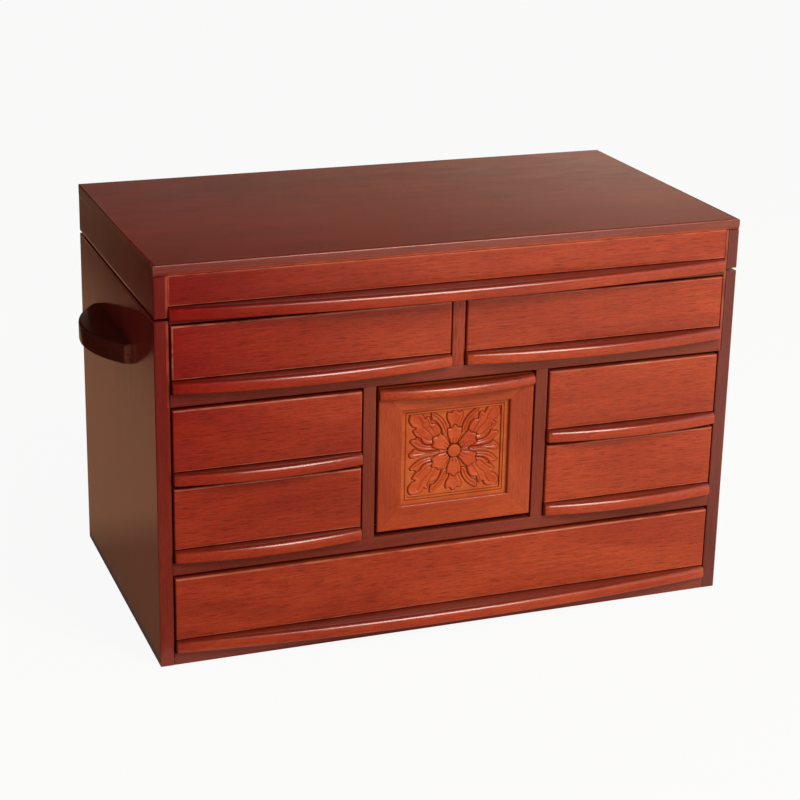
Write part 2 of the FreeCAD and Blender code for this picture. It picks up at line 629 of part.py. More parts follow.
def carved_panel(label):
    """The square panel behind the frame's lip: a raised border and a rosette of a round boss
    and pointed petals over a lower ground. Local origin: the middle of its face."""
    body = new_body(label)
    outline = new_sketch(body, label + "_outline", "XZ_Plane")
    half_w = "panel_width / 2"
    half_h = "panel_rise / 2"
    draw_polygon(outline, [("-" + half_w, "-" + half_h), (half_w, "-" + half_h),
                           (half_w, half_h), ("-" + half_w, half_h)])
    pad(body, outline, label + "_pad", "Sizes.panel_thickness", reverse=True)
    ground = new_sketch(body, label + "_ground", "XZ_Plane")
    inset = "(Sizes.flap_tongue + Sizes.panel_border)"
    inner_w = "(%s - %s)" % (half_w, inset)
    inner_h = "(%s - %s)" % (half_h, inset)
    draw_polygon(ground, [("-" + inner_w, "-" + inner_h), (inner_w, "-" + inner_h),
                          (inner_w, inner_h), ("-" + inner_w, inner_h)])
    pocket(body, ground, label + "_field", "Sizes.carving_depth")
    petal = new_sketch(body, label + "_petal_outline", "XZ_Plane", lift="-Sizes.carving_depth")
    root = "Sizes.boss_radius / 2"
    shoulder = "Sizes.petal_reach * 0.6"
    draw_polygon(petal, [("0", root), ("Sizes.petal_width / 2", shoulder),
                         ("0", "Sizes.petal_reach"), ("-Sizes.petal_width / 2", shoulder)])
    leaf = pad(body, petal, label + "_petal", "Sizes.carving_depth")
    petals = body.newObject("PartDesign::PolarPattern", label + "_petals")
    petals.Originals = [leaf]
    axis = [f for f in body.Origin.OriginFeatures if f.Role == "Y_Axis"][0]
    petals.Axis = (axis, [""])
    petals.Angle = 360
    petals.Occurrences = 6
    body.Tip = petals
    doc.recompute()
    disc = new_sketch(body, label + "_boss_outline", "XZ_Plane", lift="-Sizes.carving_depth")
    disc.addGeometry(Part.Circle(V(0, 0, 0), V(0, 0, 1), 5), False)
    disc.addConstraint(Sketcher.Constraint("Coincident", 0, 3, -1, 1))
    index = disc.addConstraint(Sketcher.Constraint("Radius", 0, 5.0))
    disc.renameConstraint(index, "boss")
    disc.setExpression("Constraints.boss", "Sizes.boss_radius")
    pad(body, disc, label + "_boss", "Sizes.carving_depth")
    return body


panel = carved_panel("flap_carved_panel")
keep(place(panel, "0", "face_plane + Sizes.flap_lip", "flap_floor + flap_rise / 2"),
     "flap_carved_panel")
keep(board("flap_strike_plate", "Sizes.catch_width", "Sizes.strike_thickness", "Sizes.strike_height",
           "-Sizes.catch_width / 2", "face_back", "flap_top - Sizes.strike_height - 0.5"),
     "flap_strike_plate")
keep(board("magnet_catch", "Sizes.catch_width", "Sizes.catch_depth", "Sizes.catch_height",
           "-Sizes.catch_width / 2", "catch_y", "upper_shelf_floor - Sizes.catch_height"),
     "magnet_catch")


# Lid

top_board = board("lid_top_board", "Sizes.cabinet_width", "Sizes.cabinet_depth", "Sizes.lid_board",
                  "-half_width", "front_plane", "lid_board_floor")
top_strip = board("lid_top_strip", "2 * (inside_half + Sizes.bead_width)", "Sizes.bead_setback",
                  "Sizes.bead_width", "-(inside_half + Sizes.bead_width)", "front_plane",
                  "lid_board_floor")
keep(cut("lid_top", top_board, top_strip), "lid_top")

keep(group("lid_sides",
           [side_board("lid_side_" + word, side, "lid_floor", "lid_side_rise", "0")
            for side, word in ((-1, "left"), (1, "right"))]), "lid_sides")

lid_back = board("lid_back_board", "2 * inside_half", "Sizes.side_thickness", "lid_side_rise",
                 "-inside_half", "lid_back_inside", "lid_floor")
keep(cut("lid_back", lid_back, screw_holes("lid_pilots", "lid_floor")), "lid_back")


def lid_front():
    """The lid's front board, rebated along its lower edge for the pull."""
    body = new_body("lid_front")
    profile = new_sketch(body, "lid_front_profile", "YZ_Plane")
    rebate = "Sizes.lid_pull_height - Sizes.lid_pull_drop + Sizes.pull_line"
    draw_polygon(profile, [("Sizes.pull_seat", "0"), ("Sizes.lid_front_thickness", "0"),
                           ("Sizes.lid_front_thickness", "lid_side_rise"), ("0", "lid_side_rise"),
                           ("0", rebate), ("Sizes.pull_seat", rebate)])
    pad(body, profile, "lid_front_pad", "2 * inside_half", symmetric=True)
    return body


keep(place(lid_front(), "0", "lid_face_plane", "lid_floor"), "lid_front")
lid_pull = bowed_pull("lid_pull", "2 * inside_half", "Sizes.lid_pull_height", "Sizes.pull_seat",
                      "Sizes.lid_pull_end_stand", "Sizes.lid_bow")
keep(place(lid_pull, "0", "lid_face_plane", "lid_floor - Sizes.lid_pull_drop"), "lid_pull")

keep(board("mirror", "Sizes.mirror_width", "Sizes.mirror_depth", "Sizes.mirror_thickness",
           "-Sizes.mirror_width / 2", "-Sizes.mirror_depth / 2",
           "lid_board_floor - Sizes.mirror_thickness"), "mirror")

bumpers = [rod("lid_bumper_" + word, "Sizes.bumper_radius", "Sizes.lid_gap - Sizes.bumper_gap",
               "%d * (half_width - Sizes.side_thickness / 2)" % side,
               "front_plane + Sizes.bumper_setback", "lid_floor", DOWN)
           for side, word in ((-1, "left"), (1, "right"))]
keep(group("lid_bumpers", bumpers), "lid_bumpers")


# Hinges

def knuckle(name, x, length, bore):
    """One knuckle of a hinge: a short tube round the pin."""
    tube = rod(name + "_tube", "Sizes.barrel_radius", length, x, "hinge_y", "hinge_z", ALONG_X)
    hole = rod(name + "_bore", bore, length, x, "hinge_y", "hinge_z", ALONG_X)
    return cut(name, tube, hole)


def leaf(name, side, floor, spans, bore):
    """A hinge leaf: a plate in the gap, a tab and a knuckle for each span along the pin."""
    middle = "%d * Sizes.hinge_spread" % side
    plate = board(name + "_plate", "Sizes.hinge_length", "Sizes.hinge_leaf_depth", "Sizes.hinge_leaf",
                  middle + " - Sizes.hinge_length / 2", "leaf_front", floor)
    drilled = plate
    for i, shift in enumerate((-1, 1)):
        hole = rod("%s_hole_%d" % (name, i), "Sizes.screw_head_radius", "Sizes.hinge_leaf",
                   screw_x(side, shift), "leaf_middle", floor)
        drilled = cut("%s_drilled_%d" % (name, i), drilled, hole)
    solids = [drilled]
    for i, (start, length) in enumerate(spans):
        x = "%s + %s" % (middle, start)
        tab = board("%s_tab_%d" % (name, i), length, "hinge_y - back_plane", "Sizes.hinge_leaf",
                    x, "back_plane", floor)
        clear = rod("%s_tab_bore_%d" % (name, i), "Sizes.barrel_radius - 0.5", length, x,
                    "hinge_y", "hinge_z", ALONG_X)
        solids.append(cut("%s_tab_end_%d" % (name, i), tab, clear))
        solids.append(knuckle("%s_knuckle_%d" % (name, i), x, length, bore))
    return fused(name, solids)


outer_spans = [("(-Sizes.hinge_length / 2)", "Sizes.knuckle_length"),
               ("(Sizes.hinge_length / 2 - Sizes.knuckle_length)", "Sizes.knuckle_length")]
middle_start = "(-Sizes.hinge_length / 2 + Sizes.knuckle_length + Sizes.knuckle_gap)"
middle_length = "Sizes.hinge_length - 2 * Sizes.knuckle_length - 2 * Sizes.knuckle_gap"
middle_spans = [(middle_start, middle_length)]

keep(group("hinge_leaves_carcase",
           [leaf("carcase_leaf_" + word, side, "carcase_top", outer_spans, "Sizes.pin_radius")
            for side, word in ((-1, "left"), (1, "right"))]), "hinge_leaves_carcase")
keep(group("hinge_leaves_lid",
           [leaf("lid_leaf_" + word, side, "lid_floor - Sizes.hinge_leaf", middle_spans,
                 "Sizes.pin_radius + Sizes.pin_running")
            for side, word in ((-1, "left"), (1, "right"))]), "hinge_leaves_lid")
keep(group("hinge_pins",
           [rod("hinge_pin_" + word, "Sizes.pin_radius", "Sizes.hinge_length",
                "%d * Sizes.hinge_spread - Sizes.hinge_length / 2" % side, "hinge_y", "hinge_z",
                ALONG_X)
            for side, word in ((-1, "left"), (1, "right"))]), "hinge_pins")


def hinge_screw(name, side, shift, head_z, shank_z):
    head = rod(name + "_head", "Sizes.screw_head_radius", "Sizes.hinge_leaf",
               screw_x(side, shift), "leaf_middle", head_z)
    shank = rod(name + "_shank", "Sizes.screw_shank_radius", "Sizes.screw_length",
                screw_x(side, shift), "leaf_middle", shank_z)
    return fused(name, [head, shank])


keep(group("hinge_screws_carcase",
           [hinge_screw("carcase_screw_%d" % i, side, shift, "carcase_top",
                        "carcase_top - Sizes.screw_length")
            for i, (side, shift) in enumerate(SCREWS)]), "hinge_screws_carcase")
keep(group("hinge_screws_lid",
           [hinge_screw("lid_screw_%d" % i, side, shift, "lid_floor - Sizes.hinge_leaf", "lid_floor")
            for i, (side, shift) in enumerate(SCREWS)]), "hinge_screws_lid")


# Side handles

def handle(label, side):
    """A half-moon grip with blunt ends, a rounded rim and a finger groove underneath."""
    body = new_body(label)
    half = "Sizes.handle_length / 2"
    plan = new_sketch(body, label + "_plan", "XY_Plane")
    draw_bow(plan, half, "0", "Sizes.handle_end", "Sizes.handle_reach - Sizes.handle_end")
    pad(body, plan, label + "_pad", "Sizes.handle_rise")
    roof = sizes.handle_rise
    rounded(body, label + "_round", "Sizes.handle_round",
            lambda e: is_bow(e) and (lies_at(e, "z", roof) or lies_at(e, "z", 0)))
    groove = new_sketch(body, label + "_groove", "XY_Plane")
    bow = "(Sizes.handle_reach - Sizes.grip_rim - 1)"
    draw_bow(groove, "Sizes.grip_length / 2", "0", "1", bow)
    pocket(body, groove, label + "_grip", "Sizes.grip_depth", reverse=True)
    turn = FreeCAD.Rotation(V(0, 0, 1), 90 * side)
    place(body, "%d * half_width" % side, "handle_middle", "handle_floor", turn)
    return keep(body, label)


handle("handle_left", -1)
handle("handle_right", 1)


# Velvet on the deck, under the lid

cushions = [board("tray_pad", "pad_width", "pad_depth", "Sizes.tray_pad", "-pad_width / 2",
                  "pad_front", "carcase_top")]
for i in range(int(sizes.roll_count)):
    cushions.append(rod("ring_roll_%d" % i, "Sizes.roll_radius", "Sizes.roll_length",
                        "-Sizes.roll_length / 2",
                        "pad_middle + (%d - (Sizes.roll_count - 1) / 2) * Sizes.roll_pitch" % i,
                        "pad_top + Sizes.roll_radius", ALONG_X))
inner_x = "Sizes.roll_length / 2 + Sizes.roll_gap"
for side, word in ((-1, "left"), (1, "right")):
    low_x = inner_x if side > 0 else "-(%s) - Sizes.tray_wall" % inner_x
    cushions.append(board("tray_cross_wall_" + word, "Sizes.tray_wall", "pad_depth",
                          "Sizes.tray_wall_rise", low_x, "pad_front", "pad_top"))
    length = "pad_width / 2 - (%s) - Sizes.tray_wall" % inner_x
    low_x = inner_x + " + Sizes.tray_wall" if side > 0 else "-pad_width / 2"
    cushions.append(board("tray_long_wall_" + word, length, "Sizes.tray_wall",
                          "Sizes.tray_wall_rise", low_x, "pad_middle - Sizes.tray_wall / 2", "pad_top"))
keep(group("tray_cushions", cushions), "tray_cushions")


# Check every object, then write one file for each sub-part

doc.recompute()
for thing in doc.Objects:
    if "Invalid" in thing.State or "Error" in thing.State:
        raise ValueError("%s failed: %s" % (thing.Label, thing.State))

os.makedirs("parts", exist_ok=True)
for thing in subparts:
    shape = thing.Shape
    if shape.isNull() or not shape.isValid() or not shape.Solids:
        raise ValueError(thing.Label + " has no valid solid")
for thing in subparts:
    thing.Shape.exportStep("parts/%s.step" % thing.Label)
    print("%-26s %2d solids %9.2f cm3" % (thing.Label, len(thing.Shape.Solids),
                                         thing.Shape.Volume / 1000))
print(len(subparts), "sub-parts")
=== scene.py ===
# %% [markdown]
# # A stained jewellery chest with bowed drawer pulls
# The chest stands on a table and is seen from its front left corner. The solid model is loaded
# first. It says where every board is and which pieces move together, so nothing is guessed here:
# each finished piece is made inside the box of the solid that it stands for.
# %% Load the solid model
import bpy
import json
import math
import numpy as np
from mathutils import Matrix, Vector


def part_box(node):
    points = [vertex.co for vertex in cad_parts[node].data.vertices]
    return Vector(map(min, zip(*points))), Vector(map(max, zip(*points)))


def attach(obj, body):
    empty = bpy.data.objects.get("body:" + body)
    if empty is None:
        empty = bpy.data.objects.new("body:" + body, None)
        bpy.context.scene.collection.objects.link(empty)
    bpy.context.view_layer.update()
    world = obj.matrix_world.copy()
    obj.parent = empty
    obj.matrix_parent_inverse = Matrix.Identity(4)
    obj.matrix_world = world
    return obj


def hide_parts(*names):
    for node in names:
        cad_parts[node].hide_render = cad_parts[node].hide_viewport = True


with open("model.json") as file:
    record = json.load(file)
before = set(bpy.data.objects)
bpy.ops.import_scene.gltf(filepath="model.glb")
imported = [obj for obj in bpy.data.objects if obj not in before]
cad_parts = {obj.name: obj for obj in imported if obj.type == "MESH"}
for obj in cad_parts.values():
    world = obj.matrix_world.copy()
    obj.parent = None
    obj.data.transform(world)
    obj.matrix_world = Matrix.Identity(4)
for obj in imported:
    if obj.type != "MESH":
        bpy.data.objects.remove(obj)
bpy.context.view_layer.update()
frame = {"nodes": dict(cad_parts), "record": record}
MM = 0.001

# %% [markdown]
# ## The camera
# The photographer stood to the left of the chest and looked down a little, with a short
# telephoto lens. The frame was cropped afterwards, which a shift of the lens repeats.
# %% Camera
CAMERA_PLACE = Vector((-503.05, -1335.80, 645.30)) * MM
LOOK_AZIMUTH, LOOK_DOWN, ROLL = (math.radians(a) for a in (20.112, 18.212, 0.956))
forward = Vector((math.sin(LOOK_AZIMUTH) * math.cos(LOOK_DOWN),
                  math.cos(LOOK_AZIMUTH) * math.cos(LOOK_DOWN), -math.sin(LOOK_DOWN)))
level = forward.cross(Vector((0, 0, 1))).normalized()
upright = level.cross(forward)
right = level * math.cos(ROLL) + upright * math.sin(ROLL)
up = right.cross(forward)
camera = bpy.data.objects.new("camera", bpy.data.cameras.new("camera"))
bpy.context.scene.collection.objects.link(camera)
camera.data.sensor_width = 36.0
camera.data.lens = 90.12
camera.data.shift_x = 0.0235
camera.data.shift_y = -0.0680
camera.data.clip_end = 50
camera.matrix_world = Matrix.Translation(CAMERA_PLACE) @ Matrix(
    (right, up, -forward)).transposed().to_4x4()
bpy.context.scene.camera = camera
print("camera at", [round(v, 3) for v in CAMERA_PLACE])
bpy.context.scene.view_settings.view_transform = "Standard"


# %% [markdown]
# ## A colour and a node
# Every colour is written as it looks on a screen, and one function turns it into the linear
# numbers that the shaders mix. Another adds a node to a tree with its settings and its links.
# %% Helpers for materials
def colour(code):
    """A screen colour such as #A8452B as linear red, green, blue and alpha."""
    parts = [int(code[i:i + 2], 16) / 255 for i in (1, 3, 5)]
    return [c / 12.92 if c <= 0.04045 else ((c + 0.055) / 1.055) ** 2.4 for c in parts] + [1.0]


def add(tree, kind, settings=None, **inputs):
    """Adds a node. A setting is a property, an input a value or the socket that feeds it."""
    node = tree.nodes.new(kind)
    for name, value in (settings or {}).items():
        setattr(node, name, value)
    for name, value in inputs.items():
        if name.startswith("slot_"):
            socket = node.inputs[int(name[5:])]
        else:
            socket = node.inputs[name.replace("_", " ")]
        if isinstance(value, bpy.types.NodeSocket):
            tree.links.new(value, socket)
        else:
            socket.default_value = value
    return node


def shades(tree, factor, *stops):
    """A ramp through colours or grey values, given as pairs of place and shade."""
    ramp = add(tree, "ShaderNodeValToRGB", slot_0=factor)
    band = ramp.color_ramp
    while len(band.elements) < len(stops):
        band.elements.new(1.0)
    for element, (place, shade) in zip(band.elements, stops):
        element.position = place
        element.color = colour(shade) if isinstance(shade, str) else [shade] * 3 + [1.0]
    return ramp.outputs[0]


def new_paint(name):
    """A material with an empty tree."""
    paint = bpy.data.materials.new(name)
    paint.use_nodes = True
    paint.node_tree.nodes.clear()
    return paint, paint.node_tree


def blended(tree, factor, first, second, how="MIX"):
    """Mixes two colours, or multiplies them."""
    mix = add(tree, "ShaderNodeMix", {"data_type": "RGBA", "blend_type": how},
              slot_0=factor, slot_6=first, slot_7=second)
    return mix.outputs[2]


# %% [markdown]
# ## Light, floor and backdrop
# A soft lamp stands high on the right in front, and its reflection draws a bright streak along
# each pull. Where a streak is brightest along its bow fixes the lamp's place. A second lamp
# near the table fills the shadows under the pulls and leaves upper faces dark, and the left
# side stays in shade. The background is white. Cards that only reflections see stand where
# the studio's darker surroundings were: varnish seen at a low angle is a mirror, and without
# them the lid and the left side would turn pale.
# %% World and floor
world = bpy.data.worlds.new("studio")
bpy.context.scene.world = world
world.use_nodes = True
tree = world.node_tree
tree.nodes.clear()
rays = add(tree, "ShaderNodeLightPath")
seen = add(tree, "ShaderNodeMath", {"operation": "ADD"},
           slot_0=rays.outputs["Is Camera Ray"], slot_1=rays.outputs["Is Glossy Ray"])
seen = add(tree, "ShaderNodeMath", {"operation": "ADD", "use_clamp": True},
           slot_0=seen.outputs[0], slot_1=rays.outputs["Is Transmission Ray"])
plain = add(tree, "ShaderNodeBackground", Color=colour("#F4F1EC"), Strength=0.28)
white = add(tree, "ShaderNodeBackground", Color=(1, 1, 1, 1), Strength=1.0)
sky = add(tree, "ShaderNodeMixShader", slot_0=seen.outputs[0], slot_1=plain.outputs[0],
          slot_2=white.outputs[0])
add(tree, "ShaderNodeOutputWorld", Surface=sky.outputs[0])

floor_paint, tree = new_paint("white paper table")
paper = add(tree, "ShaderNodeBsdfPrincipled", Base_Color=colour("#DEDBD6"), Roughness=0.8)
glow = add(tree, "ShaderNodeEmission", Color=(1, 1, 1, 1), Strength=1.0)
rays = add(tree, "ShaderNodeLightPath")
keep = add(tree, "ShaderNodeMath", {"operation": "MULTIPLY"},
           slot_0=rays.outputs["Is Camera Ray"], slot_1=0.93)
shown = add(tree, "ShaderNodeMixShader", slot_0=keep.outputs[0], slot_1=paper.outputs[0],
            slot_2=glow.outputs[0])
add(tree, "ShaderNodeOutputMaterial", Surface=shown.outputs[0])
bpy.ops.object.select_all(action="DESELECT")
bpy.ops.mesh.primitive_plane_add(size=14, location=(0, 0, -0.2 * MM))
floor = bpy.context.object
floor.name = "floor"
floor.data.materials.append(floor_paint)


# %% Lamps
CHEST_MIDDLE = Vector((0, 0, 0.15))


def soft_lamp(name, place, size, watts, mirrored=True):
    """A wide lamp behind cloth, turned to the chest. One that isn't mirrored lights the wood but
    puts no gleam on it."""
    lamp = bpy.data.lights.new(name, "AREA")
    lamp.shape = "RECTANGLE"
    lamp.size, lamp.size_y = size
    lamp.energy = watts
    lamp.color = colour("#FFF6EC")[:3]
    stand = bpy.data.objects.new(name, lamp)
    stand.location = place
    stand.rotation_euler = (CHEST_MIDDLE - Vector(place)).to_track_quat("-Z", "Y").to_euler()
    stand.visible_glossy = mirrored
    bpy.context.scene.collection.objects.link(stand)


soft_lamp("key", (0.69, -1.607, 1.622), (0.62, 0.9), 31)
soft_lamp("fill", (0.75, -1.75, 0.5), (1.1, 1.1), 11, mirrored=False)


# %% [markdown]
# Each card is a plane that gives off a fixed colour and that only glossy rays see. It is laid
# out from one corner by the run of its near edge and the rise to its far edge.
# %% Reflection cards
def evenly(shade):
    """One shade from edge to edge."""
    return [(0.0, shade), (1.0, shade)]


def reflection_card(name, corner, run, rise, across, upward=evenly(1.0), strength=1.0):
    """A card tinted along its run and dimmed along its rise."""
    bpy.ops.object.select_all(action="DESELECT")
    bpy.ops.mesh.primitive_plane_add(size=1)
    card = bpy.context.object
    card.name = name
    corner, run, rise = Vector(corner), Vector(run), Vector(rise)
    for vertex, place in zip(card.data.vertices, (corner, corner + run, corner + rise,
                                                  corner + run + rise)):
        vertex.co = place
    paint, tree = new_paint(name)
    place = add(tree, "ShaderNodeTexCoord")
    along = add(tree, "ShaderNodeSeparateXYZ", slot_0=place.outputs["UV"])
    tint = shades(tree, along.outputs[0], *across)
    dim = shades(tree, along.outputs[1], *upward)
    tone = blended(tree, 1.0, tint, dim, "MULTIPLY")
    light = add(tree, "ShaderNodeEmission", Color=tone, Strength=strength)
    add(tree, "ShaderNodeOutputMaterial", Surface=light.outputs[0])
    paint.cycles.emission_sampling = "NONE"
    card.data.materials.append(paint)
    card.visible_camera = card.visible_diffuse = card.visible_shadow = False
    card.visible_transmission = card.visible_volume_scatter = False


# the studio round the chest in metres: its walls' places, and how far a card lies off the floor
LEFT, RIGHT, NEAR, FAR, CEILING = -2.6, 2.4, -3.4, 3.0, 3.3
LAID = 0.001
TO_CEILING = (0, 0, CEILING)
reflection_card("card_behind", (0, FAR, 0), (RIGHT, 0, 0), TO_CEILING,
                [(0.15, "#88796F"), (0.46, "#C3A38E"), (0.75, "#FFE7CF")],
                [(0.0, "#959595"), (0.27, "#E0E0E0"), (0.303, "#FFFFFF"), (0.332, "#E8C4BC"),
                 (0.362, "#B48E80"), (0.397, "#64504A"), (0.46, "#180C08")], 1.1)
reflection_card("card_behind_left", (LEFT, FAR, 0), (-LEFT, 0, 0), TO_CEILING,
                [(0.0, "#100806"), (1.0, "#2A1A14")], [(0.0, 1.0), (0.5, 0.2)])
reflection_card("card_above", (LEFT, NEAR, CEILING), (RIGHT - LEFT, 0, 0), (0, FAR - NEAR, 0),
                [(0.0, "#120A07"), (1.0, "#1C120E")])
# the table left of the chest: brown beside it, dark farther out, lighter again towards the back
reflection_card("card_beside", (-0.372, -0.6, LAID), (0.155, 0, 0), (0, 3.5, 0),
                evenly("#A87C5E"), [(0.195, 0.52), (0.215, 1.0)])
reflection_card("card_left", (LEFT, -0.6, 1.2 * LAID), (-0.372 - LEFT, 0, 0), (0, 3.5, 0),
                evenly("#645440"),
                [(0.40, 0.0), (0.43, 0.18), (0.47, 0.55), (0.52, 0.95), (0.9, 1.0)])
reflection_card("card_facing", (LEFT, NEAR, 0), (RIGHT - LEFT, 0, 0), TO_CEILING,
                [(0.0, "#1C120E"), (0.52, "#2C1E18"), (0.8, "#7A6252")])
reflection_card("card_left_front", (LEFT, NEAR, LAID), (-0.42 - LEFT, 0, 0), (0, 2.8, 0),
                evenly("#1C120E"))
reflection_card("card_left_wall", (LEFT, NEAR, 0), (0, FAR - NEAR, 0), TO_CEILING,
                evenly("#120A07"))
reflection_card("card_front", (-1.6, NEAR, LAID), (3.2, 0, 0), (0, 3.26, 0),
                [(0.42, "#080302"), (0.50, "#64402E"), (0.66, "#E6C6A8")],
                [(0.0, 1.0), (1.0, 0.8)], 1.4)


# %% [markdown]
# ## Working on a piece
# A piece starts as a cube stretched between two corners, or as an outline that is extruded.
# Then its faces and edges are picked by where they are and which way they look, and are moved,
# extruded or bevelled. All sizes below are in millimetres.
# %% Helpers for pieces
import bmesh

X, Y, Z = range(3)
BODY_OF = {node: body for body, nodes in frame["record"]["behaviour"]["bodies"].items()
           for node in nodes}


def corners(node):
    """The lowest and highest corner of a solid's box in millimetres."""
    low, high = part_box(node)
    return Vector(low) / MM, Vector(high) / MM


def alone(piece):
    """Makes a piece the only selected object."""
    bpy.ops.object.select_all(action="DESELECT")
    piece.select_set(True)
    bpy.context.view_layer.objects.active = piece


def edit(piece):
    """Opens a piece in edit mode with everything selected."""
    alone(piece)
    bpy.ops.object.mode_set(mode="EDIT")
    bpy.ops.mesh.select_all(action="SELECT")


def leave():
    """Back from edit mode."""
    bpy.ops.object.mode_set(mode="OBJECT")


def block(name, low, high):
    """A cube stretched between two corners."""
    bpy.ops.object.select_all(action="DESELECT")
    bpy.ops.mesh.primitive_cube_add(size=1)
    piece = bpy.context.object
    piece.name = name
    low, high = Vector(low) * MM, Vector(high) * MM
    piece.scale = high - low
    piece.location = (low + high) / 2
    bpy.ops.object.transform_apply(location=True, rotation=False, scale=True)
    return piece


def prism(name, outline, axis, start, end, steps=1):
    """An outline drawn across an axis and extruded along it in equal steps."""
    places = []
    for a, b in outline:
        place = [a * MM, b * MM]
        place.insert(axis, start * MM)
        places.append(place)
    mesh = bpy.data.meshes.new(name)
    mesh.from_pydata(places, [], [range(len(places))])
    piece = bpy.data.objects.new(name, mesh)
    bpy.context.scene.collection.objects.link(piece)
    way = [0.0, 0.0, 0.0]
    way[axis] = (end - start) * MM / steps
    edit(piece)
    for _ in range(steps):
        bpy.ops.mesh.extrude_region_move(TRANSFORM_OT_translate={"value": way})
    bpy.ops.mesh.select_all(action="SELECT")
    bpy.ops.mesh.normals_make_consistent(inside=False)
    leave()
    return piece


def pick(piece, kind, test):
    """Selects the faces whose middle and normal, or the edges whose two ends, pass a test."""
    bpy.ops.mesh.select_mode(type=kind)
    bpy.ops.mesh.select_all(action="DESELECT")
    mesh = bmesh.from_edit_mesh(piece.data)
    if kind == "FACE":
        found = [f for f in mesh.faces if test(f.calc_center_median() / MM, f.normal)]
    else:
        found = [e for e in mesh.edges if test(e.verts[0].co / MM, e.verts[1].co / MM)]
    for item in found:
        item.select_set(True)
    bmesh.update_edit_mesh(piece.data)
    return found


def rounded(piece, test, by, segments=2):
    """Bevels the edges whose two ends pass a test."""
    edit(piece)
    if pick(piece, "EDGE", test):
        bpy.ops.mesh.bevel(offset=by * MM, segments=segments, affect="EDGES")
    leave()


def sharp(a, b):
    """Every edge."""
    return True


def on_plane(axis, value):
    """A test for edges that lie in a plane across an axis."""
    return lambda a, b: abs(a[axis] - value) < 0.01 and abs(b[axis] - value) < 0.01


def cut(piece, place, normal):
    """Adds edges where a plane crosses the piece."""
    edit(piece)
    bpy.ops.mesh.bisect(plane_co=Vector(place) * MM, plane_no=normal)
    leave()


def pulled(piece, test, way):
    """Extrudes the faces that pass a test, then joins faces that lie in one plane."""
    edit(piece)
    pick(piece, "FACE", test)
    bpy.ops.mesh.extrude_region_move(TRANSFORM_OT_translate={"value": Vector(way) * MM})
    bpy.ops.mesh.select_all(action="SELECT")
    bpy.ops.mesh.dissolve_limited(angle_limit=math.radians(0.5))
    leave()


def joined(pieces, name):
    """Makes one piece of several that are glued together."""
    alone(pieces[0])
    for piece in pieces:
        piece.select_set(True)
    bpy.ops.object.join()
    pieces[0].name = name
    return pieces[0]


def everywhere(middle):
    """Full wear, wherever a face's middle is."""
    return 1.0


def worn(piece, where=everywhere, width=1.3):
    """Insets the broad faces and stores 'wear' at the faces' corners: the weight that a face's
    middle is given, and 0 inside the broad faces."""
    edit(piece)
    bpy.ops.mesh.select_mode(type="FACE")
    bpy.ops.mesh.select_all(action="DESELECT")
    mesh = bmesh.from_edit_mesh(piece.data)
    for face in mesh.faces:
        spans = [max(v.co[k] for v in face.verts) - min(v.co[k] for v in face.verts)
                 for k in range(3)]
        if sorted(spans)[1] > 2.6 * width * MM:
            face.select_set(True)
    bmesh.update_edit_mesh(piece.data)
    bpy.ops.mesh.inset(thickness=width * MM, use_individual=True)
    mesh = bmesh.from_edit_mesh(piece.data)
    layer = mesh.loops.layers.float.new("wear")
    inner = {vertex for face in mesh.faces if face.select for vertex in face.verts}
    for face in mesh.faces:
        weight = 0.0 if face.select else where(face.calc_center_median() / MM)
        for corner in face.loops:
            corner[layer] = 0.0 if corner.vert in inner else weight
    bmesh.update_edit_mesh(piece.data)
    leave()


def flat_faces(piece):
    """Turns the normals so that broad faces shade flat beside rounded edges."""
    alone(piece)
    weighted = piece.modifiers.new("flat faces", "WEIGHTED_NORMAL")
    weighted.keep_sharp = True
    bpy.ops.object.modifier_apply(modifier="flat faces")


def ready(piece, body, slot, paint, *nodes):
    """Smooths a piece, gives it its finish, hangs it on the body it rides on, and hides the solids
    it stands for.
    """
    alone(piece)
    bpy.ops.object.shade_smooth_by_angle(angle=math.radians(32))
    piece.data.name = piece.name
    piece.data.materials.clear()
    piece.data.materials.append(paint)
    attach(piece, body)
    if nodes:
        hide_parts(*nodes)
    return piece


def faced(piece, paint, test):
    """Gives the faces that pass a test a second finish."""
    piece.data.materials.append(paint)
    last = len(piece.data.materials) - 1
    for face in piece.data.polygons:
        if test(face.center / MM, face.normal):
            face.material_index = last


# %% [markdown]
# ## Stained wood
# The chest is a pale, open-pored wood. It was stained red-brown with a spray gun and sealed
# with satin lacquer. Three things show: broad clouds of lighter and darker stain, long fine
# growth lines, and short dark pores that soaked up more stain. Lacquer wears off the corners
# first, so each board keeps a thin pale line along its edges; along the fronts' and the lid's
# top edges that line is partly a painted highlight. The chest's left end, more so higher up, is
# painted darker and redder as shade, and the pulls' flat tops are painted darker as shade.
# %% Wood finishes
# linear colours the stain is multiplied by: painted shade at the chest's left, and on a pull's
# flat top
LEFT_SHADE_TINT = (0.58, 0.12, 0.26, 1.0)
SHADE = (0.34, 0.27, 0.3, 1.0)


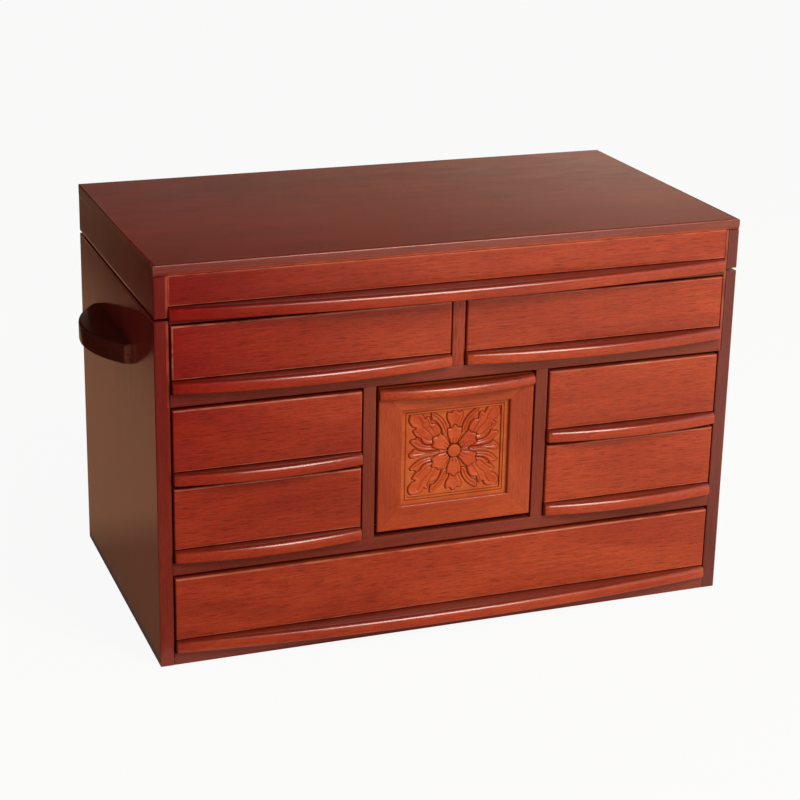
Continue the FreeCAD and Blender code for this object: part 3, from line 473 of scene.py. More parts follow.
def wood(name, dark, middle, light, edge, along, lines=0.30, pores=0.6, gloss=0.24,
         wear=0.8, clouds=7.0, painted_shade=0.0, texture=1.0):
    """Stained and lacquered wood whose grain runs along an axis. A painted shade, darker and
    redder at the chest's left end and more so higher up, is mixed in by the amount given. Thick
    lacquer has little texture."""
    paint, tree = new_paint(name)
    place = add(tree, "ShaderNodeTexCoord")

    def grain(length_scale, width_scale, detail, roughness=0.5, bend=0.0):
        scale = [width_scale] * 3
        scale[along] = length_scale
        mapped = add(tree, "ShaderNodeMapping", slot_0=place.outputs["Object"], Scale=scale)
        return add(tree, "ShaderNodeTexNoise", slot_0=mapped.outputs[0], Scale=1.0,
                   Detail=detail, Roughness=roughness, Distortion=bend).outputs[0]

    stain = shades(tree, grain(clouds, clouds * 3, 3.0, 0.6, bend=0.6),
                   (0.22, dark), (0.5, middle), (0.78, light))
    growth = shades(tree, grain(11, 820, 3.0, 0.65), (0.36, 1.0 - lines), (0.60, 1.0))
    lined = blended(tree, 1.0, stain, growth, "MULTIPLY")
    strokes = grain(75, 1500, 3.0, 0.6)
    depth = shades(tree, strokes, (0.52, 0.0), (0.62, pores))
    deepest = blended(tree, 0.5, colour(dark), (0, 0, 0, 1))
    pored = blended(tree, depth, lined, deepest)
    flecks = shades(tree, grain(300, 2400, 2.0, 0.7), (0.35, 0.88), (0.65, 1.10))
    pored = blended(tree, 1.0, pored, flecks, "MULTIPLY")
    if painted_shade:
        spot = add(tree, "ShaderNodeSeparateXYZ", slot_0=place.outputs["Object"])
        # painted shade: full at the chest's left end, none from its middle on, more of it higher
        # up
        leftward = add(tree, "ShaderNodeMapRange", {"clamp": True}, slot_0=spot.outputs[0],
                       slot_1=-0.205, slot_2=0.0, slot_3=painted_shade, slot_4=0.0)
        upward = add(tree, "ShaderNodeMapRange", {"clamp": True}, slot_0=spot.outputs[2],
                     slot_1=0.03, slot_2=0.22, slot_3=0.25, slot_4=1.0)
        left_shade_amount = add(tree, "ShaderNodeMath", {"operation": "MULTIPLY"},
                    slot_0=leftward.outputs[0], slot_1=upward.outputs[0])
        pored = blended(tree, left_shade_amount.outputs[0], pored,
                        blended(tree, 1.0, pored, LEFT_SHADE_TINT, "MULTIPLY"))
    # painted shade: the pulls' flat tops are darkened where the shade attribute is set
    shaded = add(tree, "ShaderNodeAttribute", {"attribute_name": "shade"})
    pored = blended(tree, shaded.outputs["Fac"], pored,
                    blended(tree, 1.0, pored, SHADE, "MULTIPLY"))
    rim = add(tree, "ShaderNodeAttribute", {"attribute_name": "wear"})
    patchy = shades(tree, grain(60, 200, 3.0), (0.35, 0.25 * wear), (0.6, wear))
    edge_mask = add(tree, "ShaderNodeMath", {"operation": "POWER"},
                    slot_0=rim.outputs["Fac"], slot_1=3.0)
    edge_mask = add(tree, "ShaderNodeMath", {"operation": "MULTIPLY"},
                    slot_0=edge_mask.outputs[0], slot_1=patchy)
    finished = blended(tree, edge_mask.outputs[0], pored, colour(edge))
    rough = shades(tree, grain(30, 120, 3.0), (0.3, gloss - 0.02), (0.7, gloss + 0.03))
    relief = add(tree, "ShaderNodeBump", Strength=0.2 * texture, Distance=0.00008, Height=growth)
    relief = add(tree, "ShaderNodeBump", {"invert": True}, Strength=0.25 * texture,
                 Distance=0.00008, Height=depth, Normal=relief.outputs[0])
    body = add(tree, "ShaderNodeBsdfPrincipled", Base_Color=finished, Roughness=rough,
               Normal=relief.outputs[0])
    add(tree, "ShaderNodeOutputMaterial", Surface=body.outputs[0])
    return paint


# the frame's grain follows each board, so there is one finish for each direction
FRAME = ("#6E2C20", "#823525", "#903E2E", "#B4553A")
FRAME_X = wood("stained frame wood along x", *FRAME, X, lines=0.15, pores=0.3, painted_shade=0.6)
HANDLE_Y = wood("dark stained handle", "#42160F", "#5C2018", "#702A20", "#B0604A", Y,
                lines=0.15, pores=0.3, gloss=0.2, texture=0.3)
FRAME_Z = wood("stained frame wood along z", *FRAME, Z, lines=0.12, pores=0.25)
SIDE_Z = wood("stained side board", "#6A1D17", "#78231B", "#862B20", "#A83A24", Z,
              lines=0.12, pores=0.25, gloss=0.16, texture=0.4)
STILE_Z = wood("stained stile", "#782A1A", "#883221", "#923A2A", "#A83A24", Z,
               lines=0.12, pores=0.25, painted_shade=0.8, texture=0.6)
# a painted sheen: the right stiles and the lid's front edge are paler and greyer than the frame
STILE_SHEEN_Z = wood("stile with painted sheen", "#662C26", "#73352F", "#803E36", "#B0583F", Z, lines=0.12, pores=0.2)
EDGE_SHEEN_X = wood("board edge with painted sheen", "#7A3930", "#8B453A", "#965044", "#B07058", X,
               lines=0.2, pores=0.3, painted_shade=0.5)
BEAD_X = wood("worn bead", "#A44024", "#B84E2C", "#CC6036", "#D08468", X, lines=0.2, painted_shade=0.5)
FRONT_X = wood("red stained front", "#963220", "#AE4125", "#C0502B", "#D08468", X, lines=0.16,
               wear=0.55, painted_shade=1.0, gloss=0.22, texture=0.6)
PULL_X = wood("red stained pull", "#963220", "#AE4125", "#BC4E2B", "#D08468", X, lines=0.14,
              pores=0.35, wear=0.55, painted_shade=1.0, gloss=0.19, texture=0.2)
FRONT_Z = wood("red stained upright", "#96341C", "#AA4424", "#BA502C", "#D88058", Z, lines=0.1,
               pores=0.35, wear=0.55, texture=0.5)
FLAP_X = wood("red stained flap", "#9E3A1E", "#B44A26", "#C6582C", "#D88058", X, lines=0.1,
              pores=0.35, wear=0.55, gloss=0.21, texture=0.4)
DIVIDER_Z = wood("stained divider", "#8C3422", "#A0402A", "#AC4A34", "#B4553A", Z, lines=0.15)
LID_X = wood("stained lid board", "#661810", "#7E1E13", "#92281A", "#C08068", X,
             lines=0.24, pores=0.5, gloss=0.16, texture=0.35)
BOX_Y = wood("pale drawer wood", "#C79E6C", "#D6B384", "#E2C49A", "#E8D0AC", Y, gloss=0.6,
             wear=0.5, lines=0.12, pores=0.25)
print("finishes so far:", len(bpy.data.materials))

# %% [markdown]
# ## The carcase
# Side boards, shelves and posts are planks with eased edges. From the top row up, a thin bead
# runs down the inner edge of each side board's front: it is the strip that the drawers' gap
# is seen against.
# %% Carcase boards
# where the side boards' two faces lie, and the bead on their front edge
OUTER, INNER = 215, 205
BEAD_FLOOR = 189.2
BEAD_WIDTH = 2.1
BEAD_SETBACK = 0.6


def faint(middle):
    """A trace of wear on every edge."""
    return 0.12


def plank(name, node, paint, by=0.2, slot="frame_wood"):
    """A board with eased edges, in the box of the solid that it stands for."""
    piece = block(name, *corners(node))
    rounded(piece, sharp, by)
    worn(piece, faint)
    return ready(piece, BODY_OF[node], slot, paint, node)


def beaded(piece, side, inner, floor_z, front):
    """Sets the bead's strip back from the front and rounds its outer edge."""
    outer_of_bead = inner + side * BEAD_WIDTH
    cut(piece, (outer_of_bead, 0, 0), (1, 0, 0))
    if floor_z is not None:
        cut(piece, (0, 0, floor_z), (0, 0, 1))

    def board_face(middle, normal):
        on_strip = side * middle.x < side * outer_of_bead
        return normal.y < -0.9 and not (on_strip and (floor_z is None or middle.z > floor_z))
    pulled(piece, board_face, (0, -BEAD_SETBACK, 0))

    def bead_edge(a, b):
        upright = abs(a.z - b.z) > 5
        return upright and all(abs(p.x - inner) < 0.01 and p.y < front + 1 for p in (a, b))
    rounded(piece, bead_edge, 0.9, 3)


for side, word in ((-1, "left"), (1, "right")):
    low, high = corners("side_panel_" + word)
    panel = block("side_board_" + word, (low.x, low.y + BEAD_SETBACK, low.z), high)
    beaded(panel, side, low.x if side > 0 else high.x, BEAD_FLOOR, low.y)
    rounded(panel, on_plane(X, side * OUTER), 0.5)
    worn(panel, lambda m: 1.0 if abs(m.x - side * INNER) < 2.6 and m.y < low.y + 2
         and m.z > BEAD_FLOOR else 0.1)
    ready(panel, "carcase", "frame_wood", SIDE_Z, "side_panel_" + word)
    faced(panel, STILE_Z if side < 0 else STILE_SHEEN_Z, lambda m, n: n.y < -0.7)
    plank("post_board_" + word, "post_" + word, FRAME_Z)
for name, node in (("back_board", "back_panel"), ("bottom_plank", "bottom_board"),
                   ("lower_shelf_board", "lower_shelf"), ("upper_shelf_board", "upper_shelf")):
    plank(name, node, FRAME_X)
plank("deck_plank", "deck_board", FRAME_X, 0.3)
plank("divider_board", "top_divider", DIVIDER_Z)
low, high = corners("dust_boards")
POST_OUTER = 69
dust = [block("dust_plank", low, (-POST_OUTER, high.y, high.z)),
        block("dust_plank_right", (POST_OUTER, low.y, low.z), high)]
for piece in dust:
    rounded(piece, sharp, 0.4)
dust = joined(dust, "dust_planks")
worn(dust)
ready(dust, "carcase", "frame_wood", FRAME_X, "dust_boards")

# %% [markdown]
# ## Fronts and bowed pulls
# A front is a board with a rebate along its foot, and the pull is glued into the rebate. The
# pull was a square strip whose upper front edge was rounded over. It was then sawn to a long
# bow, so it stands out most at its middle. Here its profile is extruded in short steps, and
# each step is moved forward by the height of the bow.
# %% Fronts and pulls
PULL_LINE = 0.5
ENDS_STAND = 2.9


def bow_at(x, half, rise):
    """Height of a circle's bow over its chord, x from the chord's middle."""
    radius = (half * half + rise * rise) / (2 * rise)
    return math.sqrt(radius * radius - x * x) - (radius - rise)


def front_board(name, node, pull_node, paint, by=1.0, painted_lit_end=False):
    """A drawer's front: its foot is cut back where the pull is glued in. Its left end can be
    painted
    pale: painted light over the shade that falls on its left side."""
    low, high = corners(node)
    pull_high = corners(pull_node)[1]
    foot = pull_high.z + PULL_LINE
    piece = block(name, (low.x, pull_high.y, low.z), high)
    cut(piece, (0, 0, foot), (0, 0, 1))
    pulled(piece, lambda m, n: n.y < -0.9 and m.z > foot, (0, low.y - pull_high.y, 0))
    rounded(piece, on_plane(Y, low.y), by, 3)

    # the top edge's pale line is partly wear, partly a painted highlight; the foot line is wear;
    # the lit left end is painted light over shade
    def wear_and_painted_light(middle):
        on_long_edge = middle.z > high.z - 1.2 or foot - 0.2 < middle.z < foot + 1.2
        on_painted_lit_end = painted_lit_end and middle.x < low.x + 0.9
        return 1.0 if (middle.y < low.y + 2 and on_long_edge) or on_painted_lit_end else 0.0
    worn(piece, wear_and_painted_light)
    return ready(piece, BODY_OF[node], "front_wood", paint, node)


def round_over(front, top, foot, upper, under, steps, inward=1):
    """Points down a strip's front whose upper and lower edge are rounded over."""
    points = []
    for i in range(steps[0] + 1):
        turn = math.pi / 2 * i / steps[0]
        points.append((front + inward * upper * (1 - math.sin(turn)),
                       top - upper * (1 - math.cos(turn))))
    for i in range(steps[1] + 1):
        turn = math.pi / 2 * i / steps[1]
        points.append((front + inward * under * (1 - math.cos(turn)),
                       foot + under * (1 - math.sin(turn))))
    return points


def pull(name, node, face, stand, paint, upper=4.2, under=1.2, steps=40, painted_shade=0.8):
    """A strip bowed in plan, rounded over along its upper front edge. Its top is painted darker as
    shade.
    """
    low, high = corners(node)
    front = face - stand
    half, rise = (high.x - low.x) / 2, front - low.y
    outline = [(high.y, high.z), *round_over(front, high.z, low.z, upper, under, (8, 3)),
               (high.y, low.z)]
    piece = prism(name, outline, X, low.x, high.x, steps)
    middle = (low.x + high.x) / 2
    for vertex in piece.data.vertices:
        if vertex.co.y < (face + 1.4) * MM:
            vertex.co.y -= bow_at(vertex.co.x / MM - middle, half, rise) * MM
    rounded(piece, lambda a, b: abs(a.x - b.x) < 0.01
            and abs(abs(a.x - middle) - half) < 0.01, 0.5)
    edit(piece)
    mesh = bmesh.from_edit_mesh(piece.data)
    wear = mesh.loops.layers.float.new("wear")
    shade = mesh.loops.layers.float.new("shade")
    for side in mesh.faces:
        for corner in side.loops:
            x, y, z = corner.vert.co / MM
            near_end = max(0.0, 1 - (half - abs(x - middle)))
            corner[wear] = 0.5 * near_end
            # painted shade on the flat top and the top of the round-over
            corner[shade] = min(1.0, max(0.0, (2.0 - (high.z - z)) / 1.4)) * painted_shade
    bmesh.update_edit_mesh(piece.data)
    leave()
    return ready(piece, BODY_OF[node], "front_wood", paint, node)


# where the flat face of a front lies, before its pull stands out
FACE = -118.7
DRAWERS = ("top_left", "top_right", "left_upper", "left_lower", "right_upper", "right_lower",
           "bottom")
for word in DRAWERS:
    drawer = "drawer_" + word
    front_board(drawer + "_face", drawer + "_front", drawer + "_pull", FRONT_X,
                painted_lit_end=word == "top_left")
    pull(drawer + "_grip", drawer + "_pull", FACE, ENDS_STAND, PULL_X)
print("drawer fronts and pulls:", 2 * len(DRAWERS))

# %% [markdown]
# ## Lid
# The lid is a shallow box. Its front board lies a little behind the stiles and carries the
# longest pull, which closes the gap over the top row.
# %% Lid boards
LID_FACE = -116.7
low, high = corners("lid_top")
BEAD_TOP = low.z + BEAD_WIDTH
top = block("lid_board", (low.x, low.y + BEAD_SETBACK, low.z), high)
cut(top, (0, 0, BEAD_TOP), (0, 0, 1))
pulled(top, lambda m, n: n.y < -0.9 and m.z > BEAD_TOP, (0, -BEAD_SETBACK, 0))
rounded(top, lambda a, b: on_plane(Z, low.z)(a, b) and max(a.y, b.y) < LID_FACE + 0.7, 0.9, 3)
rounded(top, on_plane(Z, high.z), 0.8, 3)
# the top's front and side edges are painted pale: partly wear, partly a painted highlight
worn(top, lambda m: 0.6 if m.y < low.y + 2 and m.z > high.z - 1.2
     else 0.5 if abs(m.x) > OUTER - 1.5 and m.z > high.z - 1.2 else 0.05)
for x in (-INNER, INNER):
    cut(top, (x, 0, 0), (1, 0, 0))
ready(top, "lid", "lid_wood", LID_X, "lid_top")
faced(top, EDGE_SHEEN_X, lambda m, n: n.y < -0.7)
faced(top, BEAD_X,
      lambda m, n: n.y < 0.1 and m.y < low.y + 2 and m.z < BEAD_TOP and abs(m.x) < INNER)
plank("lid_back_board", "lid_back", FRAME_X, slot="lid_wood")
low, high = corners("lid_sides")
sides = []
for side in (-1, 1):
    left, right = sorted((side * INNER, side * OUTER))
    board = block("lid_side", (left, low.y + BEAD_SETBACK, low.z), (right, high.y, high.z))
    beaded(board, side, side * INNER, None, low.y)
    rounded(board, on_plane(X, side * OUTER), 0.5)
    sides.append(board)
sides = joined(sides, "lid_side_boards")
worn(sides, lambda m: 1.0 if abs(abs(m.x) - INNER) < 2.6 and m.y < low.y + 2 else 0.08)
ready(sides, "lid", "lid_wood", SIDE_Z, "lid_sides")
faced(sides, STILE_Z, lambda m, n: m.x < 0 and n.y < -0.7)
faced(sides, STILE_SHEEN_Z, lambda m, n: m.x > 0 and n.y < -0.7)
front_board("lid_face", "lid_front", "lid_pull", FRONT_X, 0.2, painted_lit_end=True)
pull("lid_grip", "lid_pull", LID_FACE, 3.4, PULL_X, upper=4.0, under=1.0, steps=60)
print("lid: board, back, two sides, face and grip")

# %% [markdown]
# ## The drop front
# Four lengths of the same board are mitred into a frame. A rebate behind its inner lip holds
# the carved panel. Each length is a straight bar first; its ends are then sheared so that the
# inner edge is shorter, which is what a mitre saw does.
# %% Flap frame
low, high = corners("flap_frame")
MEMBER, LIP, TONGUE = 17.5, 3.0, 3.0
half_wide = high.x
middle_z, half_tall = (low.z + high.z) / 2, (high.z - low.z) / 2
MITRE_LINE = 0.04
members = []
for turn in range(4):
    upright = turn % 2 == 1
    half_run, out = (half_tall, half_wide) if upright else (half_wide, half_tall)
    # drawn as the bottom length: run along x, outer edge at -out, front at the lip's face
    outline = [(low.y, -out), (low.y, -out + MEMBER), (low.y + LIP, -out + MEMBER),
               (low.y + LIP, -out + MEMBER - TONGUE), (high.y, -out + MEMBER - TONGUE),
               (high.y, -out)]
    bar = prism("flap_length_%d" % turn, outline, X, -half_run, half_run)
    rounded(bar, lambda a, b: on_plane(Y, low.y)(a, b) and abs(a.x - b.x) > 5, 0.7, 3)
    for vertex in bar.data.vertices:
        shear = vertex.co.z / MM + out
        vertex.co.x -= math.copysign(shear + MITRE_LINE, vertex.co.x) * MM
    worn(bar, lambda m: 0.0)
    alone(bar)
    bpy.ops.transform.rotate(value=math.pi / 2 * turn, orient_axis="Y", orient_type="GLOBAL",
                             center_override=(0, 0, 0))
    bpy.ops.object.transform_apply(location=True, rotation=True, scale=True)
    bpy.ops.transform.translate(value=(0, 0, middle_z * MM))
    bpy.ops.object.transform_apply(location=True, rotation=True, scale=True)
    bar.data.materials.append(FRONT_Z if upright else FLAP_X)
    members.append(bar)
flap = joined(members, "flap_lengths")
alone(flap)
bpy.ops.object.shade_smooth_by_angle(angle=math.radians(32))
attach(flap, "flap")
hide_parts("flap_frame")
pull("flap_grip", "flap_pull", FACE, 2.6, FRONT_X, under=3.2)
print("flap frame faces:", len(flap.data.polygons))

# %% [markdown]
# ## Side handles
# A half-moon block is glued to each side. Its section, with both edges of the rim rounded over,
# is swept along the side board and bowed out like a pull. A groove milled underneath gives the
# fingers a hold.
# %% Handles
HANDLE_END, HANDLE_RIM = 4.7, 7.0
HANDLE_ROUND, HANDLE_STEPS = 1.8, 36
GROOVE_HALF, GROOVE_DEEP = 39, 8.5
for side, word in ((-1, "left"), (1, "right")):
    low, high = corners("handle_" + word)
    middle_y, half = (low.y + high.y) / 2, (high.y - low.y) / 2
    wall = side * OUTER
    ends, rise = wall + side * HANDLE_END, max(abs(low.x), abs(high.x)) - OUTER - HANDLE_END

    def bulge(y):
        """How far the rim at a place along the side board lies outside the handle's ends."""
        return side * bow_at(y - middle_y, half, rise)
    outline = [(wall, high.z), *round_over(ends, high.z, low.z, HANDLE_ROUND, HANDLE_ROUND, (5, 5),
                                           -side), (wall, low.z)]
    handle = prism("grip_block_" + word, outline, Y, low.y, high.y, HANDLE_STEPS)
    for vertex in handle.data.vertices:
        if abs(vertex.co.x / MM - wall) > 0.1:
            vertex.co.x += bulge(vertex.co.y / MM) * MM
    # the finger groove is a smaller half-moon, milled out of the underside
    ys = [low.y + 2 * half * i / HANDLE_STEPS for i in range(HANDLE_STEPS + 1)]
    inner = [(ends + bulge(y) - side * HANDLE_RIM, y) for y in ys
             if abs(y - middle_y) < GROOVE_HALF]
    outline = [(wall + side, inner[-1][1]), (wall + side, inner[0][1])] + inner
    groove = prism("groove_" + word, outline, Z, low.z - 2, low.z + GROOVE_DEEP)
    alone(handle)
    milled = handle.modifiers.new("groove", "BOOLEAN")
    milled.operation = "DIFFERENCE"
    milled.object = groove
    bpy.ops.object.modifier_apply(modifier="groove")
    bpy.data.objects.remove(groove)
    rounded(handle, lambda a, b: abs(a.y - b.y) < 0.01 and abs(abs(a.y - middle_y) - half) < 0.01
            and abs(a.x - wall) > 0.1 and abs(b.x - wall) > 0.1, 0.5)
    edit(handle)
    mesh = bmesh.from_edit_mesh(handle.data)
    wear = mesh.loops.layers.float.new("wear")
    for face in mesh.faces:
        for corner in face.loops:
            x, y, z = corner.vert.co / MM
            on_rim = side * x > side * (ends + bulge(y)) - 2
            crest = math.exp(-((min(high.z - z, z - low.z) - 0.5) / 0.4) ** 2) if on_rim else 0
            corner[wear] = max(0.6 * crest, 1 - (half - abs(y - middle_y)) / 0.8, 0.0)
    bmesh.update_edit_mesh(handle.data)
    leave()
    ready(handle, "carcase", "frame_wood", HANDLE_Y, "handle_" + word)
print("handles: 2")

# %% [markdown]
# ## Drawer boxes and linings
# Behind each front is a plain box of pale boards: two long sides, a back and a floor that sits
# a little above the sides' lower edges. A flocked insert with rounded corners lies in it.
# %% Drawer boxes
def drawer_box(name, node, wall=5.0, floor_lift=1.5, floor_thick=3.0):
    """Four glued boards behind a front."""
    low, high = corners(node)
    boards = [
        block(name, low, (low.x + wall, high.y, high.z)),
        block(name + "_right", (high.x - wall, low.y, low.z), high),
        block(name + "_back", (low.x + wall, high.y - wall, low.z),
              (high.x - wall, high.y, high.z)),
        block(name + "_floor", (low.x + wall, low.y, low.z + floor_lift),
              (high.x - wall, high.y - wall, low.z + floor_lift + floor_thick))]
    for board in boards:
        rounded(board, sharp, 0.4)
    box = joined(boards, name)
    worn(box)
    return ready(box, BODY_OF[node], "box_wood", BOX_Y, node)


def flocked_insert(name, node, thick=1.2):
    """A tray with rounded corners and rolled edges, open at the top."""
    low, high = corners(node)
    tray = block(name, low, high)
    rounded(tray, lambda a, b: abs(a.z - b.z) > 5, 1.5, 3)
    edit(tray)
    pick(tray, "FACE", lambda m, n: n.z > 0.9)
    bpy.ops.mesh.inset(thickness=thick * MM)
    way = (0, 0, -(high.z - low.z - thick) * MM)
    bpy.ops.mesh.extrude_region_move(TRANSFORM_OT_translate={"value": way})
    leave()
    rounded(tray, on_plane(Z, low.z + thick), 2.0, 4)
    rounded(tray, on_plane(Z, high.z), 0.4)
    ready(tray, BODY_OF[node], "velvet", VELVET, node)
    flat_faces(tray)


# %% [markdown]
# Velvet is a mat of short upright fibres. Seen flat on it is deep and dark, and at its edges
# the fibre tips catch light, which the sheen gives. The nap lies in soft patches.
# %% Velvet
VELVET, tree = new_paint("wine red velvet")
place = add(tree, "ShaderNodeTexCoord")
nap = add(tree, "ShaderNodeTexNoise", slot_0=place.outputs["Object"], Scale=38.0, Detail=3.0)
tufts = add(tree, "ShaderNodeTexNoise", slot_0=place.outputs["Object"], Scale=2600.0, Detail=2.0)
deep = shades(tree, nap.outputs[0], (0.35, "#5A0F1A"), (0.65, "#781626"))
pile = shades(tree, tufts.outputs[0], (0.3, 0.72), (0.65, 1.0))
pile = blended(tree, 1.0, deep, pile, "MULTIPLY")
relief = add(tree, "ShaderNodeBump", Strength=0.5, Distance=0.0002, Height=tufts.outputs[0])
cloth = add(tree, "ShaderNodeBsdfPrincipled", Base_Color=pile, Roughness=0.95,
            Normal=relief.outputs[0])
cloth.inputs["Sheen Weight"].default_value = 0.7
cloth.inputs["Sheen Roughness"].default_value = 0.35
cloth.inputs["Sheen Tint"].default_value = colour("#E08A92")
cloth.inputs["Specular IOR Level"].default_value = 0.1
add(tree, "ShaderNodeOutputMaterial", Surface=cloth.outputs[0])

for word in DRAWERS:
    drawer = "drawer_" + word
    drawer_box(drawer + "_boards", drawer + "_box")
    flocked_insert(drawer + "_insert", drawer + "_lining")
print("drawer boxes and inserts:", 2 * len(DRAWERS))

# %% [markdown]
# ## Cushions under the lid
# The tray under the lid has a velvet pad, a block of ring rolls and four partitions. Each is
# foam wrapped in velvet, so edges are round, faces swell a little between the seams, and ends
# are gathered. They are modelled by subdividing and moving points, because a pad this firm
# hardly changes in a cloth simulation.
# %% Tray cushions
def swollen(piece, middle, half, swell):
    """Raises the points of the upper half: most at the centre, nothing at the rim."""
    for vertex in piece.data.vertices:
        place = (vertex.co / MM) - middle
        x, y = abs(place.x) / half.x, abs(place.y) / half.y
        crown = max(0.0, 1 - x ** 2) * max(0.0, 1 - y ** 2)
        if place.z > 0:
            vertex.co.z += swell * crown * MM


def soft_block(name, low, high, edge, cuts, swell=0.0):
    """A block with round edges, cut into strips both ways so that its top can swell."""
    low, high = Vector(low), Vector(high)
    shrunk = high - Vector((0, 0, swell))
    piece = block(name, low, shrunk)
    rounded(piece, sharp, edge, 4)
    spans = shrunk - low
    for axis in (0, 1):
        for i in range(1, cuts):
            place, normal = [0, 0, 0], [0, 0, 0]
            place[axis] = low[axis] + spans[axis] * i / cuts
            normal[axis] = 1
            cut(piece, place, normal)
    swollen(piece, (low + shrunk) / 2, spans / 2, swell)
    return piece


def padded_piece(piece, fill, *nodes):
    """Finishes a piece of foam wrapped in velvet."""
    ready(piece, "carcase", "velvet", VELVET, *nodes)


low, high = corners("tray_cushions")
PAD_TOP = 252.5
pad = soft_block("tray_pad_cushion", low, (high.x, high.y, PAD_TOP), 1.0, 16, 0.7)
padded_piece(pad, 0.7, "tray_cushions")
ROLL, ROLL_HALF, PITCH, ROLLS = 7.5, 64.0, 15.4, 11
pad_middle = (low.y + high.y) / 2
# one roll is spun up from half a profile, gathered at its ends, and copied ten times
profile = [(-ROLL_HALF, 0.4), (-ROLL_HALF + 0.3, 1.8), (-ROLL_HALF + 0.2, 3.4),
           (-ROLL_HALF + 0.7, 5.2), (-ROLL_HALF + 1.8, 6.6), (-ROLL_HALF + 3.6, 7.3),
           (-ROLL_HALF + 8, ROLL)]
profile += [(x, ROLL - 0.12 * (i % 2)) for i, x in enumerate(range(-50, 51, 10))]
profile += [(-a, b) for a, b in reversed(profile[:7])]
mesh = bpy.data.meshes.new("ring_roll_0")
mesh.from_pydata([(x * MM, r * MM, 0) for x, r in profile],
                 [(i, i + 1) for i in range(len(profile) - 1)], [])
roll = bpy.data.objects.new("ring_roll_0", mesh)
bpy.context.scene.collection.objects.link(roll)
edit(roll)
bpy.ops.mesh.spin(steps=32, angle=2 * math.pi, center=(0, 0, 0), axis=(1, 0, 0))
bpy.ops.mesh.select_all(action="SELECT")
bpy.ops.mesh.remove_doubles(threshold=0.00002)
bpy.ops.mesh.normals_make_consistent(inside=False)
bpy.ops.mesh.select_mode(type="EDGE")
bpy.ops.mesh.select_all(action="DESELECT")
bpy.ops.mesh.select_non_manifold()
bpy.ops.mesh.edge_face_add()
leave()
rolls = [roll]
for i in range(1, ROLLS):
    copy = roll.copy()
    copy.data = roll.data.copy()
    copy.name = "ring_roll_%d" % i
    bpy.context.scene.collection.objects.link(copy)
    rolls.append(copy)
for i, copy in enumerate(rolls):
    y = pad_middle + (i - (ROLLS - 1) / 2) * PITCH
    alone(copy)
    copy.location = Vector((0, y, PAD_TOP + ROLL)) * MM
    copy.rotation_euler = (i * 0.7, 0, 0)
    bpy.ops.object.transform_apply(location=True, rotation=True, scale=True)
    padded_piece(copy, 0.8)
WALL, WALL_RISE = 5.0, 16.0
inner = ROLL_HALF + 2.0
for side, word in ((-1, "left"), (1, "right")):
    xs = sorted((side * inner, side * (inner + WALL)))
    wall = soft_block("tray_cross_partition_" + word, (xs[0], low.y, PAD_TOP),
                      (xs[1], high.y, PAD_TOP + WALL_RISE), 2.2, 10)
    padded_piece(wall, 0.8)
    xs = sorted((side * (inner + WALL), side * high.x))
    wall = soft_block("tray_long_partition_" + word, (xs[0], pad_middle - WALL / 2, PAD_TOP),
                      (xs[1], pad_middle + WALL / 2, PAD_TOP + WALL_RISE), 2.2, 8)
    padded_piece(wall, 0.8)
print("tray cushions:", 1 + ROLLS + 4)

# %% [markdown]
# ## Mirror, metal and small parts
# The mirror has a ground bevel. The hinges are stamped brass with a brushed face, and the drop
# front's pivots are blackened brass. Its strike plate is zinc-plated steel, and the magnet sits
# in a brown plastic shell. The lid comes down on rubber bumpers.
# %% Small finishes
def metal(name, low_shade, high_shade, rough, along=0):
    """Brushed metal: fine scratches along one axis in colour, roughness and relief."""
    paint, tree = new_paint(name)
    place = add(tree, "ShaderNodeTexCoord")
    scale = [2600.0] * 3
    scale[along] = 60.0
    mapped = add(tree, "ShaderNodeMapping", slot_0=place.outputs["Object"], Scale=scale)
    scratches = add(tree, "ShaderNodeTexNoise", slot_0=mapped.outputs[0], Scale=1.0, Detail=3.0)
    tarnish = add(tree, "ShaderNodeTexNoise", slot_0=place.outputs["Object"], Scale=140.0,
                  Detail=3.0)
    tone = shades(tree, tarnish.outputs[0], (0.3, low_shade), (0.65, high_shade))
    gloss = shades(tree, scratches.outputs[0], (0.3, rough - 0.08), (0.7, rough + 0.12))
    relief = add(tree, "ShaderNodeBump", Strength=0.2, Distance=0.00005,
                 Height=scratches.outputs[0])
    body = add(tree, "ShaderNodeBsdfPrincipled", Base_Color=tone, Metallic=1.0, Roughness=gloss,
               Normal=relief.outputs[0])
    add(tree, "ShaderNodeOutputMaterial", Surface=body.outputs[0])
    return paint


def moulded(name, low_shade, high_shade, rough):
    """Moulded plastic or rubber: a fine even grain and slight clouding."""
    paint, tree = new_paint(name)
    place = add(tree, "ShaderNodeTexCoord")
    clouds = add(tree, "ShaderNodeTexNoise", slot_0=place.outputs["Object"], Scale=120.0,
                 Detail=3.0)
    pimples = add(tree, "ShaderNodeTexNoise", slot_0=place.outputs["Object"], Scale=2200.0,
                  Detail=1.0)
    tone = shades(tree, clouds.outputs[0], (0.3, low_shade), (0.7, high_shade))
    relief = add(tree, "ShaderNodeBump", Strength=0.25, Distance=0.00004,
                 Height=pimples.outputs[0])
    body = add(tree, "ShaderNodeBsdfPrincipled", Base_Color=tone, Roughness=rough,
               Normal=relief.outputs[0])
    add(tree, "ShaderNodeOutputMaterial", Surface=body.outputs[0])
    return paint


